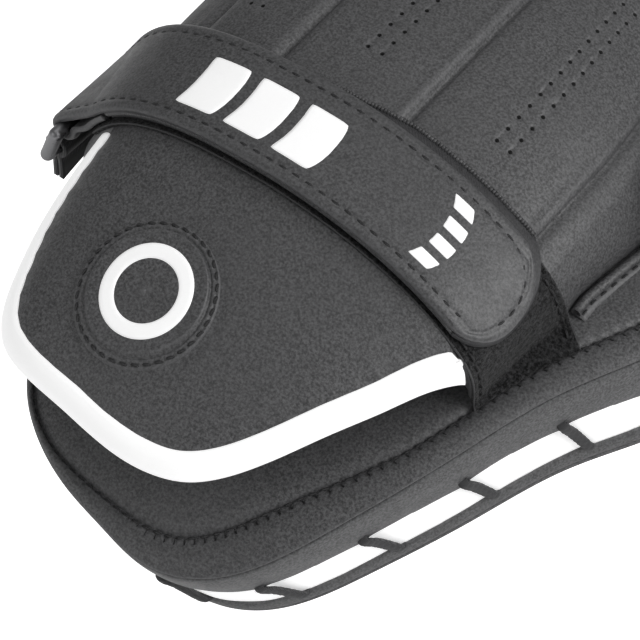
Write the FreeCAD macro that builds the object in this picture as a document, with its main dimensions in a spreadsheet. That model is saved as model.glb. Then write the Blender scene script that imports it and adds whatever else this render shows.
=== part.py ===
import FreeCAD, Part
import math
import os
import Sketcher
from FreeCAD import Placement, Rotation, Vector

# Left-hand curved focus mitt: a strike pad worn on the hand.
# Frame: origin on the rest plane under the middle of the pad, +X to the thumb side,
# +Y to the fingertips, +Z to the back of the hand. "Far side" means the -X side.
# The pad is bent about an axis parallel to X below it, so the strike face looks down
# and the pad rests on its two ends.

os.makedirs("parts", exist_ok=True)
doc = FreeCAD.newDocument("focus_mitt")

# ---------------------------------------------------------------- driving dimensions
# alias, value, note; the "from" and "to" values are heights over the strike face
DIMENSIONS = [
    ("bend_radius", 240.0, "radius of the strike face"),
    ("centre_rise", 33.2, "height of the strike face over the rest plane at the middle"),
    ("face_top", 2.5, "strike leather, thickness"),
    ("lower_rim_low", 2.7, "lower rim band, from"),
    ("lower_rim_top", 8.7, "lower rim band, to"),
    ("band_low", 8.9, "side band, from"),
    ("band_top", 23.0, "side band, to"),
    ("upper_rim_low", 23.2, "upper rim band, from"),
    ("upper_rim_top", 30.0, "upper rim band, to"),
    ("foam_a_low", 2.7, "front impact foam, from"),
    ("foam_a_top", 13.8, "front impact foam, to"),
    ("gel_low", 14.0, "shock sheet, from"),
    ("gel_top", 16.8, "shock sheet, to"),
    ("foam_b_low", 17.0, "middle foam, from"),
    ("foam_b_top", 26.8, "middle foam, to"),
    ("foam_c_low", 27.0, "rear foam, from"),
    ("foam_c_top", 38.8, "rear foam, to"),
    ("panel_low", 39.2, "back panel leather, from"),
    ("panel_top", 41.0, "back panel leather, to"),
    ("cyl_len", 260.0, "length of the bending cylinders"),
    ("roll_low", 30.3, "bolster roll, from"),
    ("roll_top", 38.8, "bolster roll, to"),
    ("lace_radius", 1.5, "rim lace, section radius"),
    ("lace_pitch", 27.0, "rim lace spacing along the edge"),
    ("hood_start", -73.5, "wrist edge of the hand cover"),
    ("hood_end", 118.0, "fingertip end of the hand cover"),
    ("shell_thick", 1.8, "cover leather"),
    ("pad_thick", 5.0, "cover padding"),
    ("lining_thick", 1.2, "cover lining"),
    ("cuff_start", -74.4, "sewn edge of the wrist cuff"),
    ("cuff_end", -138.7, "free edge of the wrist cuff"),
    ("binding_width", 8.0, "white edge binding"),
    ("strap_mid", -56.0, "middle line of the wrist strap"),
    ("strap_width", 34.0, "wrist strap"),
    ("tape_width", 33.0, "loop tape"),
    ("patch_radius", 19.3, "emblem patch"),
    ("bar_radius", 2.0, "strap ring bar"),
    ("ring_half", 19.6, "strap ring, half length between bar centres"),
    ("ring_top_x", -64.6, "strap ring upper bar"),
    ("ring_top_z", 86.0, "strap ring upper bar"),
    ("ring_low_x", -68.2, "strap ring lower bar"),
    ("ring_low_z", 76.5, "strap ring lower bar"),
    ("dome_radius", 36.0, "palm dome, plan radius"),
    ("dome_height", 6.0, "palm dome, height"),
    ("target_radius", 42.0, "target patch on the strike face"),
]
sheet = doc.addObject("Spreadsheet::Sheet", "Dimensions")
sheet.Label = "Dimensions"
for row, (alias, value, note) in enumerate(DIMENSIONS, start=1):
    sheet.set("A%d" % row, note)
    sheet.set("B%d" % row, "%g" % value)
    sheet.setAlias("B%d" % row, alias)
doc.recompute()


def dim(alias):
    return float(sheet.get(alias))


BEND_RADIUS = dim("bend_radius")
CENTRE_RISE = dim("centre_rise")
AXIS_Z = CENTRE_RISE - BEND_RADIUS    # height of the bending axis
PANEL_TOP = dim("panel_top")
PANEL_GAP = 0.3                       # air between the back panel and what lies on it
SHELL_THICK = dim("shell_thick")
X_AXIS, Y_AXIS, Z_AXIS = Vector(1, 0, 0), Vector(0, 1, 0), Vector(0, 0, 1)

# ---------------------------------------------------------------- shared helpers
pieces = {}                           # label: document object to export


def add_piece(obj, label):
    if label in pieces:
        raise RuntimeError("label used twice: %s" % label)
    obj.Label = label
    pieces[label] = obj


def feature(name, shape):
    obj = doc.addObject("Part::Feature", name)
    obj.Shape = shape
    return obj


def add_shape(label, shape):
    add_piece(feature(label, shape), label)


def biggest(shape):
    return max(shape.Solids, key=lambda solid: solid.Volume)


def box(x0, y0, z0, x1, y1, z1):
    return Part.makeBox(x1 - x0, y1 - y0, z1 - z0, Vector(x0, y0, z0))


def cylinder_x(radius, length):
    """Cylinder round the bending axis, centred on x = 0."""
    return Part.makeCylinder(radius, length, Vector(-length / 2, 0, AXIS_Z), X_AXIS)


def cylinder_y(radius, length, x, y, z):
    return Part.makeCylinder(radius, length, Vector(x, y, z), Y_AXIS)


def spline(points, closed=False):
    curve = Part.BSplineCurve()
    curve.interpolate(points, closed)
    return curve


# ---------------------------------------------------------------- pad outline
# Outline on the strike face: x across, arc length along the bend.
# It runs from the wrist end round by the thumb side, which is the wider one.
PAD_EDGE = [
    (0, -124.3), (14, -126.6), (26.5, -125.2), (38.3, -119.2), (55.6, -97.7), (70.1, -71.6),
    (82.1, -46.5), (96.3, -23.6), (105.1, 0.5), (109.3, 25.9), (107.5, 51), (99, 78),
    (82.5, 103), (60, 121), (38, 130.5), (16, 134), (-6, 133), (-28, 127), (-47, 115),
    (-60, 98), (-69, 76), (-73.5, 50), (-74, 26), (-72, 2), (-68, -23), (-63, -46),
    (-57, -67), (-50, -86), (-43.5, -100.5), (-36, -110), (-26, -116.6), (-14, -121.2),
]
DENSE = 1200                          # points used to measure the length of the outline


def sample_outline(samples):
    """Evenly spaced points on the smooth closed outline, and its perimeter."""
    curve = spline([Vector(x, along, 0) for x, along in PAD_EDGE], True)
    first, last = curve.FirstParameter, curve.LastParameter
    dense = [curve.value(first + (last - first) * k / DENSE) for k in range(DENSE)]
    lengths = [0.0]
    for k in range(DENSE):
        lengths.append(lengths[-1] + (dense[(k + 1) % DENSE] - dense[k]).Length)
    points, j = [], 0
    for k in range(samples):
        target = lengths[-1] * k / samples
        while lengths[j + 1] < target:
            j += 1
        part = (target - lengths[j]) / (lengths[j + 1] - lengths[j])
        p, q = dense[j], dense[(j + 1) % DENSE]
        points.append((p.x + (q.x - p.x) * part, p.y + (q.y - p.y) * part))
    return points, lengths[-1]


def move_inwards(point, before, after, inset):
    """Move an outline point square to the chord between its neighbours."""
    dx, dy = after[0] - before[0], after[1] - before[1]
    chord = math.hypot(dx, dy)
    return point[0] - inset * dy / chord, point[1] + inset * dx / chord


WALL_POINTS, PERIMETER = sample_outline(72)


def wall_solid(inset, z_low=-14.0, z_high=118.0):
    """Solid whose wall is square to the bent pad, inset from the outline."""
    count = len(WALL_POINTS)
    edge = [move_inwards(WALL_POINTS[k], WALL_POINTS[k - 1], WALL_POINTS[(k + 1) % count], inset)
            for k in range(count)]
    wires = []
    for z in (z_low, z_high):
        points = [Vector(x, (z - AXIS_Z) * math.tan(along / BEND_RADIUS), z)
                  for x, along in edge]
        wires.append(Part.makePolygon(points + [points[0]]))
    return Part.makeLoft(wires, True, True)


# ---------------------------------------------------------------- pad layers
walls = {}                            # inset: wall feature, shared between layers


def wall(inset):
    if inset not in walls:
        name = "wall_inset_%s" % str(inset).replace(".", "_")
        walls[inset] = feature(name, wall_solid(inset))
    return walls[inset]


def bending_cylinder(name, radius_expression):
    obj = doc.addObject("Part::Cylinder", name)
    obj.setExpression("Radius", radius_expression)
    obj.setExpression("Height", "Dimensions.cyl_len")
    obj.Placement = Placement(Vector(-dim("cyl_len") / 2, 0, AXIS_Z), Rotation(Y_AXIS, 90))
    return obj


def boolean(kind, name, base, tool):
    obj = doc.addObject("Part::" + kind, name)
    obj.Base, obj.Tool = base, tool
    return obj


# Space above the rest plane: it trims the two ends of the pad flat.
above_rest = doc.addObject("Part::Box", "above_rest_plane")
above_rest.Length, above_rest.Width, above_rest.Height = 400, 400, 300
above_rest.Placement = Placement(Vector(-200, -200, 0), Rotation())


def add_layer(label, low, top, outer_inset, inner_inset):
    low_radius = "Dimensions.bend_radius"
    if low is not None:
        low_radius += " + Dimensions." + low
    over = bending_cylinder(label + "_over", "Dimensions.bend_radius + Dimensions." + top)
    under = bending_cylinder(label + "_under", low_radius)
    shell = boolean("Cut", label + "_shell", over, under)
    plan = wall(outer_inset)
    if inner_inset is not None:
        plan = boolean("Cut", label + "_ring", plan, wall(inner_inset))
    bent = boolean("Common", label + "_bent", shell, plan)
    add_piece(boolean("Common", label, bent, above_rest), label)


# label, low and top alias, inset of the outer wall, inset of the inner wall of a ring
for layer in (
    ("strike_face", None, "face_top", 3.0, None),
    ("lower_rim_band", "lower_rim_low", "lower_rim_top", 0.5, 4.5),
    ("side_band", "band_low", "band_top", 2.0, 4.2),
    ("upper_rim_band", "upper_rim_low", "upper_rim_top", 0.5, 4.5),
    ("front_impact_foam", "foam_a_low", "foam_a_top", 5.0, None),
    ("shock_sheet", "gel_low", "gel_top", 5.0, None),
    ("middle_foam", "foam_b_low", "foam_b_top", 5.0, None),
    ("rear_foam", "foam_c_low", "foam_c_top", 12.6, None),
    ("back_panel", "panel_low", "panel_top", 7.0, None),
    ("bolster_roll", "roll_low", "roll_top", 0.8, 12.0),
):
    add_layer(*layer)

# ---------------------------------------------------------------- rim laces
# Each lace leaves the upper rim band, crosses the recessed side band on a slant
# and enters the lower rim band.
LACE_START = 17.8                     # along the edge, first lace
LACE_SLANT = 5.0                      # along the edge, from the upper to the lower end
LACE_INSET = -0.1                     # the lace axis runs just outside the outline
LACE_HIGH, LACE_LOW = 22.0, 10.2      # heights of the two ends over the strike face
EDGE_SAMPLES = 960
edge_points, _ = sample_outline(EDGE_SAMPLES)


def on_edge(arc, inset, height):
    """Point on the bent pad edge at a length along the outline."""
    position = (arc / PERIMETER * EDGE_SAMPLES) % EDGE_SAMPLES
    i = int(position)
    part = position - i
    here, after = edge_points[i], edge_points[(i + 1) % EDGE_SAMPLES]
    point = (here[0] + (after[0] - here[0]) * part, here[1] + (after[1] - here[1]) * part)
    x, along = move_inwards(point, edge_points[i - 1], after, inset)
    angle, radius = along / BEND_RADIUS, BEND_RADIUS + height
    return Vector(x, radius * math.sin(angle), radius * math.cos(angle) + AXIS_Z)


laces = []
lace_count = int(round(PERIMETER / dim("lace_pitch")))
for k in range(lace_count):
    arc = LACE_START + k * PERIMETER / lace_count
    start = on_edge(arc, LACE_INSET, LACE_HIGH)
    run = on_edge(arc + LACE_SLANT, LACE_INSET, LACE_LOW) - start
    laces.append(Part.makeCylinder(dim("lace_radius"), run.Length, start, run))
add_shape("rim_laces", Part.makeCompound(laces))

# ---------------------------------------------------------------- target patch
# thin round leather patch under the hollow of the strike face
TARGET_X = 17
TARGET_TOP, TARGET_BOTTOM = 0.2, 1.4  # depths below the strike face
target_post = Part.makeCylinder(dim("target_radius"), 30,
                                Vector(TARGET_X, 0, CENTRE_RISE - 12), Z_AXIS)
target_sheet = cylinder_x(BEND_RADIUS - TARGET_TOP, 200).cut(
    cylinder_x(BEND_RADIUS - TARGET_BOTTOM, 200))
add_shape("target_patch", target_post.common(target_sheet))

# ---------------------------------------------------------------- arched solids
# Stations of the arches over the hand:
# y, middle x, half width on the thumb side, crest height, half width on the far side
HOOD = [
    (-90, -2, 75, 103.9, 57), (-73.5, -1, 75, 108.4, 57.5), (-55, 0, 75, 111.4, 60),
    (-35, 0, 75, 113.4, 63), (0, 0, 74, 115.4, 63), (30, 0, 69, 113.9, 60),
    (60, 0, 62, 106.4, 55), (85, 0, 53, 93.4, 47), (105, 0, 42, 75.4, 38),
    (118, 0, 31, 58.9, 29),
]
THUMB = [
    (2, 84, 17.0, 101.4, 17.0), (20, 85, 17.0, 103.9, 17.0), (40, 84.5, 16.0, 101.9, 16.0),
    (58, 82, 14.0, 93.4, 14.0), (70, 79.5, 11.0, 82.4, 11.0),
]
CUFF = [
    (-142, -3, 64, 72.4, 50), (-134, -3, 66, 77.4, 52), (-120, -3, 69, 85.9, 54),
    (-100, -2.5, 72, 96.4, 55.5), (-85, -2, 74, 103.2, 57), (-74.4, -1, 75, 108.0, 57.5),
    (-70, -1, 75, 109.4, 58),
]
FAR_POWER = 2.6                       # the far side of an arch is squarer than an ellipse


def station_at(table, y):
    """Middle x, thumb half width, crest and far half width at y, by cubic interpolation."""
    last = len(table) - 1
    if y <= table[0][0]:
        i = 0
    elif y >= table[last][0]:
        i = last - 1
    else:
        i = max(k for k in range(last) if table[k][0] <= y)
    gap = table[i + 1][0] - table[i][0]
    f = (y - table[i][0]) / gap

    def slope(k, column):
        before, after = table[max(k - 1, 0)], table[min(k + 1, last)]
        return (after[column] - before[column]) / (after[0] - before[0])

    values = []
    for column in range(1, len(table[0])):
        values.append(
            (2 * f ** 3 - 3 * f ** 2 + 1) * table[i][column]
            + (f ** 3 - 2 * f ** 2 + f) * slope(i, column) * gap
            + (-2 * f ** 3 + 3 * f ** 2) * table[i + 1][column]
            + (f ** 3 - f ** 2) * slope(i + 1, column) * gap)
    return values


def crest_at(table, y):
    return station_at(table, y)[2]


def arch_wire(table, y, offset, base, drop, power):
    """Closed section: an arch over the base height, with legs reaching down by drop."""
    middle, thumb_half, crest, far_half = station_at(table, y)
    points = []
    for k in range(19):
        angle = math.pi * k / 18
        c, s = math.cos(angle), math.sin(angle)
        if k < 9:                     # far side
            e = 2.0 / power
            x = -(far_half + offset) * c ** e
            z = (crest - base + offset) * (max(s, 0.0) ** e)
        else:
            x = -(thumb_half + offset) * c
            z = (crest - base + offset) * s
        points.append(Vector(middle + x, y, base + z))
    far, thumb = points[0], points[-1]
    far_low, thumb_low = far - Vector(0, 0, drop), thumb - Vector(0, 0, drop)
    return Part.Wire([spline(points).toShape(), Part.makeLine(thumb, thumb_low),
                      Part.makeLine(thumb_low, far_low), Part.makeLine(far_low, far)])


def arch_solid(table, sections, offset, y_start, y_end, base_at, power=FAR_POWER):
    """Loft grown outwards by offset; a negative offset shrinks it."""
    # A smaller solid reaches lower, so when it hollows a larger one
    # their undersides never lie on each other.
    drop = 9.0 - 0.9 * offset
    wires = []
    for k in range(sections):
        y = y_start + (y_end - y_start) * k / (sections - 1)
        wires.append(arch_wire(table, y, offset, base_at(y), drop, power))
    return Part.makeLoft(wires, True, False)


def pad_top(y):
    return math.sqrt((BEND_RADIUS + PANEL_TOP) ** 2 - y * y) + AXIS_Z


def hood_base(y):
    return pad_top(y) - 0.5


def cuff_base(y):
    # the flanks of the cuff stand clear of the pad and of its rim
    return crest_at(CUFF, y) - 40.0


def hood_solid(offset, y_start, y_end):
    return arch_solid(HOOD, 12, offset, y_start, y_end, hood_base)


def thumb_solid(offset, y_start, y_end):
    return arch_solid(THUMB, 8, offset, y_start, y_end, hood_base, 2.0)


def cuff_solid(offset, y_start, y_end):
    return arch_solid(CUFF, 10, offset, y_start, y_end, cuff_base)


pad_cylinder = cylinder_x(BEND_RADIUS + PANEL_TOP + PANEL_GAP, 300)

# ---------------------------------------------------------------- hand cover
HOOD_START, HOOD_END = dim("hood_start"), dim("hood_end")
COVER_GAP = 0.3                       # between the layers of the cover
OPEN_REACH = 4                        # hollowing solids pass the open wrist edge by this

depth = 0.0                           # of the outer side of the layer
for label, thickness in (("hand_cover_shell", SHELL_THICK),
                         ("hand_cover_foam", dim("pad_thick")),
                         ("hand_cover_lining", dim("lining_thick"))):
    inside = depth + thickness
    cover = hood_solid(-depth, HOOD_START, HOOD_END - depth).cut(
        hood_solid(-inside, HOOD_START - OPEN_REACH, HOOD_END - inside)).cut(pad_cylinder)
    add_shape(label, biggest(cover))
    depth = inside + COVER_GAP

# ---------------------------------------------------------------- thumb sleeve
THUMB_START, THUMB_END = THUMB[0][0], THUMB[-1][0]
hood_clearance = hood_solid(0.4, HOOD_START - OPEN_REACH, HOOD_END + 1)


def add_thumb_layer(label, depth, inside, y_start, y_end):
    sleeve = thumb_solid(-depth, y_start, y_end).cut(
        thumb_solid(-inside, -4, THUMB_END - inside)).cut(pad_cylinder).cut(hood_clearance)
    add_shape(label, biggest(sleeve))


add_thumb_layer("thumb_sleeve", 0, SHELL_THICK, THUMB_START, THUMB_END)
add_thumb_layer("thumb_lining", 2.35, 4.2, 2.4, 67.4)

# ---------------------------------------------------------------- hand cover piping
# round cords along both lower edges of the hand cover
PIPING_RADIUS = 1.25
PIPING_OFFSET = 1.75                  # of its axis, from the cover and from the back panel
PIPING_START = -37.5                  # clear of the tape and of the ring tab
PIPING_END = HOOD_END - 16


def hood_foot(y, side):
    middle, thumb_half, crest, far_half = station_at(HOOD, y)
    z = pad_top(y) + PIPING_OFFSET
    rise = min(1.0, (z - hood_base(y)) / (crest - hood_base(y)))
    if side > 0:
        return Vector(middle + thumb_half * math.sqrt(1 - rise * rise) + PIPING_OFFSET, y, z)
    reach = far_half * (1 - rise ** FAR_POWER) ** (1 / FAR_POWER)
    return Vector(middle - reach - PIPING_OFFSET, y, z)


def piping(side):
    points = [hood_foot(PIPING_START + (PIPING_END - PIPING_START) * k / 14.0, side)
              for k in range(15)]
    path = spline(points)
    section = Part.makeCircle(PIPING_RADIUS, points[0], path.tangent(path.FirstParameter)[0])
    return Part.Wire([path.toShape()]).makePipeShell([Part.Wire([section])], True, False)


far_piping = piping(-1)
# the thumb sleeve interrupts the cord on its side; the longest stretch is kept
thumb_piping = biggest(piping(1).cut(thumb_solid(0.4, THUMB_START - 0.4, THUMB_END + 1)))
add_shape("hand_cover_piping", Part.makeCompound([far_piping, thumb_piping]))


# ---------------------------------------------------------------- palm dome
def add_palm_dome():
    """Low revolved foam dome under the palm."""
    radius, height = dim("dome_radius"), dim("dome_height")
    sphere_radius = (radius * radius + height * height) / (2 * height)
    body = doc.addObject("PartDesign::Body", "palm_dome")
    profile = body.newObject("Sketcher::SketchObject", "dome_profile")
    xz_plane = [f for f in body.Origin.OriginFeatures if getattr(f, "Role", "") == "XZ_Plane"][0]
    profile.AttachmentSupport = [(xz_plane, "")]
    profile.MapMode = "FlatFace"
    # base line, arc and axis line
    profile.addGeometry(Part.LineSegment(Vector(0, 0, 0), Vector(radius, 0, 0)), False)
    circle = Part.Circle(Vector(0, height - sphere_radius, 0), Z_AXIS, sphere_radius)
    rim_angle = math.asin((sphere_radius - height) / sphere_radius)
    profile.addGeometry(Part.ArcOfCircle(circle, rim_angle, math.pi / 2), False)
    profile.addGeometry(Part.LineSegment(Vector(0, height, 0), Vector(0, 0, 0)), False)
    for constraint in (
        ("Coincident", 0, 1, -1, 1),
        ("PointOnObject", 0, 2, -1),
        ("Coincident", 0, 2, 1, 1),
        ("Coincident", 1, 2, 2, 1),
        ("PointOnObject", 2, 1, -2),
        ("Coincident", 2, 2, -1, 1),
        ("PointOnObject", 1, 3, -2),
    ):
        profile.addConstraint(Sketcher.Constraint(*constraint))
    across = profile.addConstraint(Sketcher.Constraint("DistanceX", -1, 1, 0, 2, radius))
    up = profile.addConstraint(Sketcher.Constraint("DistanceY", -1, 1, 2, 1, height))
    profile.setExpression("Constraints[%d]" % across, "Dimensions.dome_radius")
    profile.setExpression("Constraints[%d]" % up, "Dimensions.dome_height")
    doc.recompute()
    dome = body.newObject("PartDesign::Revolution", "dome")
    dome.Profile = profile
    dome.ReferenceAxis = (profile, ["V_Axis"])
    dome.Angle = 360.0
    body.Tip = dome
    doc.recompute()
    body.Placement = Placement(Vector(0, 0, pad_top(0) + PANEL_GAP), Rotation())
    add_piece(body, "palm_dome")


add_palm_dome()

# ---------------------------------------------------------------- wrist cuff
CUFF_START, CUFF_END = dim("cuff_start"), dim("cuff_end")
BINDING_WIDTH = dim("binding_width")
# free edge in plan (x, y), from the thumb side round to the far side
CUFF_EDGE = [
    (68, CUFF_START), (62, -83.5), (56.5, -94), (49.5, -106), (40.5, -120.5), (33, -129.5),
    (26.5, -134.5), (20, -137.2), (12, CUFF_END), (3, CUFF_END), (-11, -136.9), (-27, -134),
    (-37, -129.5), (-43, -122.5), (-47, -112), (-50, -100), (-51, -88), (-51, CUFF_START),
]


def cuff_edge_points(inset, steps=90):
    """The free edge moved inwards, as a fine polygon from seam to seam."""
    curve = spline([Vector(x, y, 0) for x, y in CUFF_EDGE])
    first, last = curve.FirstParameter, curve.LastParameter
    points = []
    for k in range(steps + 1):
        parameter = first + (last - first) * k / steps
        point, along = curve.value(parameter), curve.tangent(parameter)[0]
        points.append((point.x + inset * along.y, point.y - inset * along.x))
    return points


def cuff_prism(inset, past_seam=0.0):
    """Upright prism over the plan area that lies more than inset inside the free edge."""
    seam = CUFF_START + past_seam
    edge = [point for point in cuff_edge_points(inset) if point[1] < seam - 0.01]
    plan = [(edge[0][0], seam)] + edge + [(edge[-1][0], seam)]
    corners = [Vector(x, y, 20) for x, y in plan]
    return Part.Face(Part.makePolygon(corners + [corners[0]])).extrude(Vector(0, 0, 110))


def cuff_sheet(outer, inner):
    """Sheet between two offsets of the cuff arch, on the wrist side of the seam."""
    return cuff_solid(outer, -140.5, CUFF_START).cut(
        cuff_solid(inner, -142, CUFF_START + 2)).common(
        box(-90, -150, 40, 90, CUFF_START, 130))


inside_binding = cuff_prism(BINDING_WIDTH - 3.2)
for label, outer, inner in (("cuff_shell", -0.6, -2.4), ("cuff_foam", -2.55, -5.0),
                            ("cuff_lining", -5.15, -6.35)):
    add_shape(label, biggest(cuff_sheet(outer, inner).common(inside_binding)))

# the binding follows the free edge and stops at a sloping plane above the pad
binding_plan = cuff_prism(0.0).cut(cuff_prism(BINDING_WIDTH - 3.5, 3.0))
SLOPE_CORNERS = [(-150, 59.7), (-60, 77.7), (-60, 130), (-150, 130), (-150, 59.7)]  # y, z
above_slope = Part.Face(Part.makePolygon([Vector(-90, y, z) for y, z in SLOPE_CORNERS])).extrude(
    Vector(190, 0, 0))
add_shape("cuff_binding",
          biggest(cuff_sheet(0.0, -6.8).common(binding_plan).common(above_slope)))

# ---------------------------------------------------------------- emblem
# round stitched patch that follows the cuff, and a plain ring on it
EMBLEM_X, EMBLEM_Y = -6.3, -108.0
EMBLEM_AXIS = Vector(-0.10, -0.42, 0.90)
EMBLEM_CENTRE = Vector(EMBLEM_X, EMBLEM_Y, crest_at(CUFF, EMBLEM_Y) - 1.2)
RING_OUTER, RING_INNER = 12.5, 8.5    # radii


def emblem_post(radius, length):
    start = EMBLEM_CENTRE - EMBLEM_AXIS * (length / 2)
    return Part.makeCylinder(radius, length, start, EMBLEM_AXIS)


add_shape("emblem_patch",
          biggest(cuff_sheet(0.75, -0.45).common(emblem_post(dim("patch_radius"), 30))))
emblem_tube = emblem_post(RING_OUTER, 30).cut(emblem_post(RING_INNER, 32))
add_shape("emblem_ring", biggest(cuff_sheet(1.25, 0.9).common(emblem_tube)))


# ---------------------------------------------------------------- loop tape
def over_hood(inner, outer, y_start, y_end):
    """Band over the hand cover between two offsets of its arch."""
    return hood_solid(outer, y_start, y_end).cut(
        hood_solid(inner, y_start - 2, y_end + 2)).cut(pad_cylinder)


TAPE_START = -73.0
tape = over_hood(0.3, 1.7, TAPE_START, TAPE_START + dim("tape_width")).common(
    box(-54, -80, 60, 100, 0, 130)).cut(pad_cylinder)
add_shape("loop_tape", biggest(tape))

# ---------------------------------------------------------------- wrist strap
STRAP_MID, STRAP_WIDTH = dim("strap_mid"), dim("strap_width")
STRAP_Y0, STRAP_Y1 = STRAP_MID - STRAP_WIDTH / 2, STRAP_MID + STRAP_WIDTH / 2
STRAP_FAR, STRAP_TIP = -62.6, 73.5    # x of the two ends
BAR_RADIUS = dim("bar_radius")
RING_HALF = dim("ring_half")
UPPER_X, UPPER_Z = dim("ring_top_x"), dim("ring_top_z")
LOWER_X, LOWER_Z = dim("ring_low_x"), dim("ring_low_z")


def strap_plan(x0, x1, width):
    """Upright prism over the strap plan, with a blunt rounded tip on the thumb side."""
    y0, y1 = STRAP_MID - width / 2, STRAP_MID + width / 2
    core = box(x0, y0, 60, x1 - 11, y1, 140)
    tip_points = [(x1 - 11, y0), (x1 - 5.5, y0 + 2.2), (x1 - 1.2, y0 + 9), (x1, STRAP_MID),
                  (x1 - 1.2, y1 - 9), (x1 - 5.5, y1 - 2.2), (x1 - 11, y1)]
    curve = spline([Vector(x, y, 60) for x, y in tip_points])
    closing = Part.makeLine(Vector(x1 - 11, y1, 60), Vector(x1 - 11, y0, 60))
    tip = Part.Face(Part.Wire([curve.toShape(), closing])).extrude(Vector(0, 0, 80))
    return core.fuse(tip).removeSplitter()


def strap_layer(inner, outer, x0, x1, width):
    return over_hood(inner, outer, STRAP_Y0, STRAP_Y1).common(strap_plan(x0, x1, width))


def far_side_below(z):
    """Block that removes the far side of a strap layer below z."""
    return box(-90, -90, 50, 0, 0, z)


def upper_bar_cylinder(extra_radius):
    return cylinder_y(BAR_RADIUS + extra_radius, STRAP_WIDTH, UPPER_X, STRAP_Y0, UPPER_Z)


face = strap_layer(4.6, 6.6, STRAP_FAR, STRAP_TIP, STRAP_WIDTH).cut(far_side_below(87.4))
backing = strap_layer(3.2, 4.45, STRAP_FAR + 7, STRAP_TIP - 1.5, STRAP_WIDTH - 1.0).cut(
    far_side_below(92.9))
hook = strap_layer(1.9, 3.05, 18, STRAP_TIP - 4, STRAP_WIDTH - 6.0)

# Fold round the upper ring bar: thick over the bar, where the strap leaves it,
# and thin under it, where it has to clear the hand cover.
fold = upper_bar_cylinder(2.2).common(box(-90, -90, UPPER_Z + 0.8, 0, 0, 140))
fold = fold.fuse(upper_bar_cylinder(1.2)).cut(upper_bar_cylinder(0.4)).cut(
    hood_solid(0.5, STRAP_Y0 - 3, STRAP_Y1 + 3))
fold = fold.removeSplitter()
bore = cylinder_y(BAR_RADIUS + 0.4, STRAP_WIDTH + 2, UPPER_X, STRAP_Y0 - 1, UPPER_Z)
add_shape("strap_face", biggest(biggest(face).cut(bore).fuse(fold).removeSplitter()))
add_shape("strap_backing", biggest(backing.cut(fold).cut(bore)))
add_shape("hook_tape", biggest(hook))

# Plain bars on the strap: x from and to, y of the middle from the strap's middle line,
# and width along y. Three are wide, four are short and stand in a column.
MARKS = [(-29 + 15.5 * k, -17 + 15.5 * k, -2.8, 16.8) for k in range(3)]
MARKS += [(46.4, 52.2, 6.9 - 5.6 * k, 3.4) for k in range(4)]
marks = []
for x0, x1, shift, width in MARKS:
    middle = STRAP_MID + shift
    mark = over_hood(6.75, 7.1, middle - width / 2.0, middle + width / 2.0).common(
        box(x0, STRAP_Y0, 60, x1, STRAP_Y1, 140))
    marks.append(biggest(mark))
add_shape("strap_marks", Part.makeCompound(marks))

# ---------------------------------------------------------------- strap ring
# four round bars with ball corners
RING_Y0, RING_Y1 = STRAP_MID - RING_HALF, STRAP_MID + RING_HALF
ring_parts = []


def ring_part(kind, name, placement):
    obj = doc.addObject("Part::" + kind, name)
    obj.setExpression("Radius", "Dimensions.bar_radius")
    obj.Placement = placement
    ring_parts.append(obj)
    return obj


for name, x, z in (("ring_upper_bar", UPPER_X, UPPER_Z), ("ring_lower_bar", LOWER_X, LOWER_Z)):
    bar = ring_part("Cylinder", name, Placement(Vector(x, RING_Y1, z), Rotation(X_AXIS, 90)))
    bar.setExpression("Height", "2 * Dimensions.ring_half")
rise = Vector(UPPER_X - LOWER_X, 0, UPPER_Z - LOWER_Z)
for name, y in (("ring_wrist_bar", RING_Y0), ("ring_hand_bar", RING_Y1)):
    bar = ring_part("Cylinder", name,
                    Placement(Vector(LOWER_X, y, LOWER_Z), Rotation(Z_AXIS, rise)))
    bar.Height = rise.Length
ring_corners = [(x, y, z) for x, z in ((UPPER_X, UPPER_Z), (LOWER_X, LOWER_Z))
                for y in (RING_Y0, RING_Y1)]
for k, corner in enumerate(ring_corners, start=1):
    ring_part("Sphere", "ring_corner_%d" % k, Placement(Vector(*corner), Rotation()))
ring = doc.addObject("Part::MultiFuse", "strap_ring")
ring.Shapes = ring_parts
add_piece(ring, "strap_ring")

# ---------------------------------------------------------------- ring tab
# webbing that loops around the lower bar and reaches down to the back panel
tab = cylinder_y(BAR_RADIUS + 1.8, STRAP_WIDTH - 2, LOWER_X, STRAP_Y0 + 1, LOWER_Z)
tab = tab.fuse(box(LOWER_X - 1.0, STRAP_Y0 + 1, 58,
                   LOWER_X + 1.0, STRAP_Y1 - 1, LOWER_Z - 2.6)).removeSplitter()
tab = tab.cut(cylinder_y(BAR_RADIUS + 0.3, STRAP_WIDTH, LOWER_X, STRAP_Y0, LOWER_Z)).cut(
    pad_cylinder)
add_shape("ring_tab", biggest(tab))

# ---------------------------------------------------------------- check and export
doc.recompute()
for obj in doc.Objects:
    if any(state in ("Invalid", "Error") for state in obj.State):
        raise RuntimeError("failed object: %s %s" % (obj.Label, obj.State))
for label, obj in pieces.items():
    if obj.Shape.isNull() or not obj.Shape.isValid() or not obj.Shape.Solids:
        raise RuntimeError("bad shape: %s" % label)
for label, obj in pieces.items():
    obj.Shape.exportStep("parts/%s.step" % label)
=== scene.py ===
"""A curved strike pad worn on the hand, resting strike face down on the plane z = 0.

+X is the thumb side, -X the far side, +Y the fingertips, -Y the wrist and +Z the back of
the pad, which carries the hand cover, thumb sleeve, wrist cuff and strap. The pad is a flat
outline bent about an axis along X. Shapes are worked out in mm and stored in metres.
"""

import math
import bpy
import numpy as np
from mathutils import Matrix, Vector

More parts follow.
